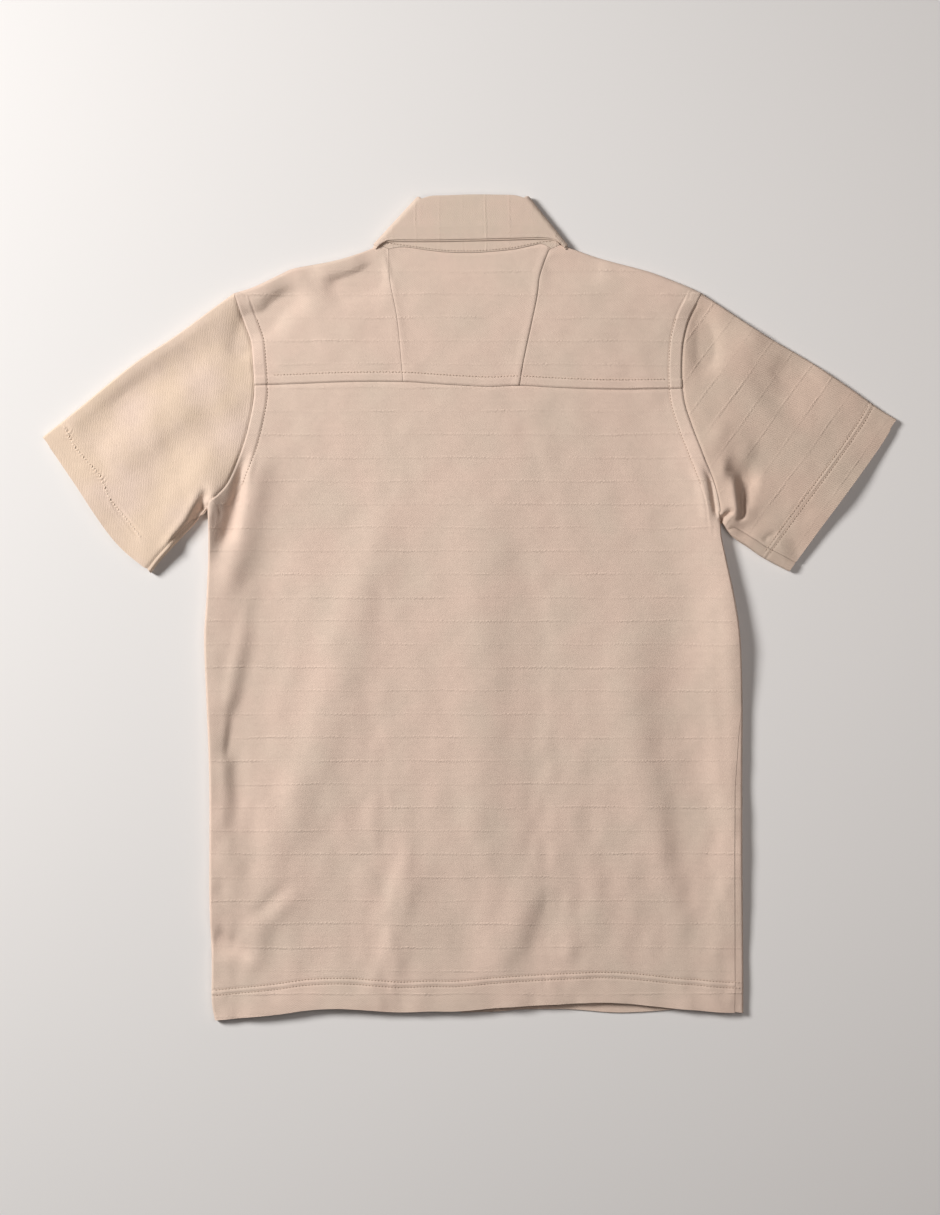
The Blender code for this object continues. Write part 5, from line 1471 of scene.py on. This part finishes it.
def stitch(vertices, faces, a, b, up):
    """A short raised thread from a to b whose ends go into the cloth."""
    along = b - a
    side = along.cross(up).normalized()
    number = len(vertices)
    radius = STITCH_RADIUS * MM
    for place, width, rise in STITCH_RINGS:
        centre = a + along * place + up * (rise * radius)
        for k in range(STITCH_SIDES):
            angle = 2 * np.pi * k / STITCH_SIDES
            vertices.append(centre + (side * np.cos(angle) + up * np.sin(angle)) * (radius * width))
    for ring in range(len(STITCH_RINGS) - 1):
        low = number + ring * STITCH_SIDES
        high = low + STITCH_SIDES
        for k in range(STITCH_SIDES):
            after = (k + 1) % STITCH_SIDES
            faces.append((low + k, low + after, high + after, high + k))
    faces.append(tuple(number + k for k in reversed(range(STITCH_SIDES))))
    faces.append(tuple(high + k for k in range(STITCH_SIDES)))


def sew(vertices, faces, trees, line, zigzag=0.0):
    """Stitches along a line on the cloth below."""
    length = np.linalg.norm(np.diff(line, axis=0), axis=1).sum()
    count = int(length / STITCH_STEP)
    ends = np.array([STITCH_STEP - STITCH_LENGTH, STITCH_STEP + STITCH_LENGTH]) / 2 / length
    sideways = perpendicular(line, (0.0, 0.0))
    for k in range(count):
        starts = k * STITCH_STEP / length + ends
        two = at(line, starts)
        swing = at(sideways, starts) * zigzag
        two = two + swing * (np.array([[1.0], [-1.0]]) * (1 if k % 2 else -1))
        found = [resting(trees, *point) for point in two]
        if None not in found:
            stitch(vertices, faces, found[0][0], found[1][0], found[0][1])


def sewn_lines():
    """Each row of stitches: line, zigzag."""
    yoke = offset_line(YOKE_SEAM, YOKE_WELT, (0, 300))
    rows = [(part_between(yoke, 0, YOKE_STITCHED), YOKE_ZIGZAG)]
    for side in (-1, 1):
        arm = offset_line(armhole(side), ARM_WELT, (0, 180))
        rows.append((part_between(arm, 1, ARM_STITCHED), 0.0))
    for gap in HEM_STITCHES:
        rows.append((offset_line(BACK_HEM, gap, (0, 0)), 0.0))
    for gap in CUFF_STITCHES:
        rows.append((offset_line(CUFF[1], gap, (200, 100)), 0.0))
    rows.append((offset_line(NECK_SEAM, NECK_STITCHES, (0, 400)), 0.0))
    return rows


def add_stitching(name, trees, rows, thread):
    vertices, faces = [], []
    for line, zigzag in rows:
        sew(vertices, faces, trees, line, zigzag)
    mesh = new_mesh(name, vertices, faces, flecked_material(name + "_thread", *thread))
    mesh.shade_smooth()
    piece = new_object(name, mesh)
    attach(piece, "root")


def make_stitches():
    graph = bpy.context.evaluated_depsgraph_get()
    trees = [BVHTree.FromObject(piece, graph) for piece in bpy.data.objects
             if piece.name.endswith("_cloth") and not piece.name.startswith("collar_leaf")]
    add_stitching("stitching", trees, sewn_lines(), SHADED_THREAD)
    cuff_rows = [(curve(PUCKERED_CUFF), CUFF_ZIGZAG)]
    add_stitching("cuff_stitching", trees, cuff_rows, CUFF_THREAD)


def finish_buttons(frame):
    material = flecked_material("button_resin", *BUTTON)
    for name, node in frame["nodes"].items():
        if name.startswith("button"):
            node.data.materials.clear()
            node.data.materials.append(material)


def make_stage():
    half = FLOOR_HALF
    corners = [(-half, -half, 0.0), (half, -half, 0.0), (half, half, 0.0), (-half, half, 0.0)]
    mesh = new_mesh("floor", corners, [(0, 1, 2, 3)], flecked_material("paper", *PAPER))
    new_object("floor", mesh)


def make_light(name, place, aim, size, power, colour):
    light = bpy.data.lights.new(name, "AREA")
    light.shape = "DISK"
    light.size = size
    light.energy = power
    light.color = colour
    lamp = new_object(name, light)
    lamp.location = place
    lamp.rotation_euler = (Vector(aim) - Vector(place)).to_track_quat("-Z", "Y").to_euler()


def make_lights():
    for name, settings in LIGHTS.items():
        make_light(name, *settings)
    world = bpy.data.worlds.new("room")
    world.use_nodes = True
    world.node_tree.nodes["Background"].inputs[0].default_value = ROOM_COLOUR
    world.node_tree.nodes["Background"].inputs[1].default_value = ROOM_LIGHT
    bpy.context.scene.world = world
    bpy.context.scene.view_settings.view_transform = "Standard"


def make_camera():
    """Straight above the shirt, with the photo's frame."""
    data = bpy.data.cameras.new("camera")
    data.sensor_fit = "VERTICAL"
    data.sensor_height = SENSOR_HEIGHT
    data.lens = SENSOR_HEIGHT * (CAMERA_HEIGHT - CLOTH_LEVEL) / FRAME_HEIGHT
    camera = new_object("camera", data)
    camera.location = (FRAME_CENTRE[0], FRAME_CENTRE[1], CAMERA_HEIGHT)
    bpy.context.scene.camera = camera


def make_shirt():
    seam = yoke_seam_stations()
    back_arms = make_back(seam)
    yokes = {side: make_side_yoke(side, seam) for side in (-1, 1)}
    neck_back = make_centre_yoke(seam, yokes[-1], yokes[1])
    fronts = {side: make_front(side) for side in (-1, 1)}
    plackets = {side: make_placket(side, fronts[side]) for side in (-1, 1)}
    for side in (-1, 1):
        make_sleeve(side, back_arms[side], yokes[side]["arm"], fronts[side]["arm"])
    make_collar(neck_loop(neck_back, yokes, fronts, plackets))


def clear_scene():
    for old in list(bpy.data.objects):
        bpy.data.objects.remove(old)


clear_scene()
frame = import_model()
MATERIALS = {
    "shirt_cloth": cloth_material("shirt_cloth", 0.0, BODY_COLOURS, 1.0, 3.0),
    "sleeve_cloth": cloth_material("sleeve_cloth", 54.0, RIGHT_SLEEVE_SHADED_COLOURS, 1.0, 8.0),
    "left_sleeve_cloth": cloth_material("left_sleeve_cloth", -51.5, LEFT_SLEEVE_COLOURS, 0.25, 0.0),
    "collar_cloth": cloth_material("collar_cloth", 90.0, COLLAR_SHADED_COLOURS, 0.8, 6.0),
}
make_shirt()
make_stitches()
finish_buttons(frame)
make_stage()
make_lights()
make_camera()
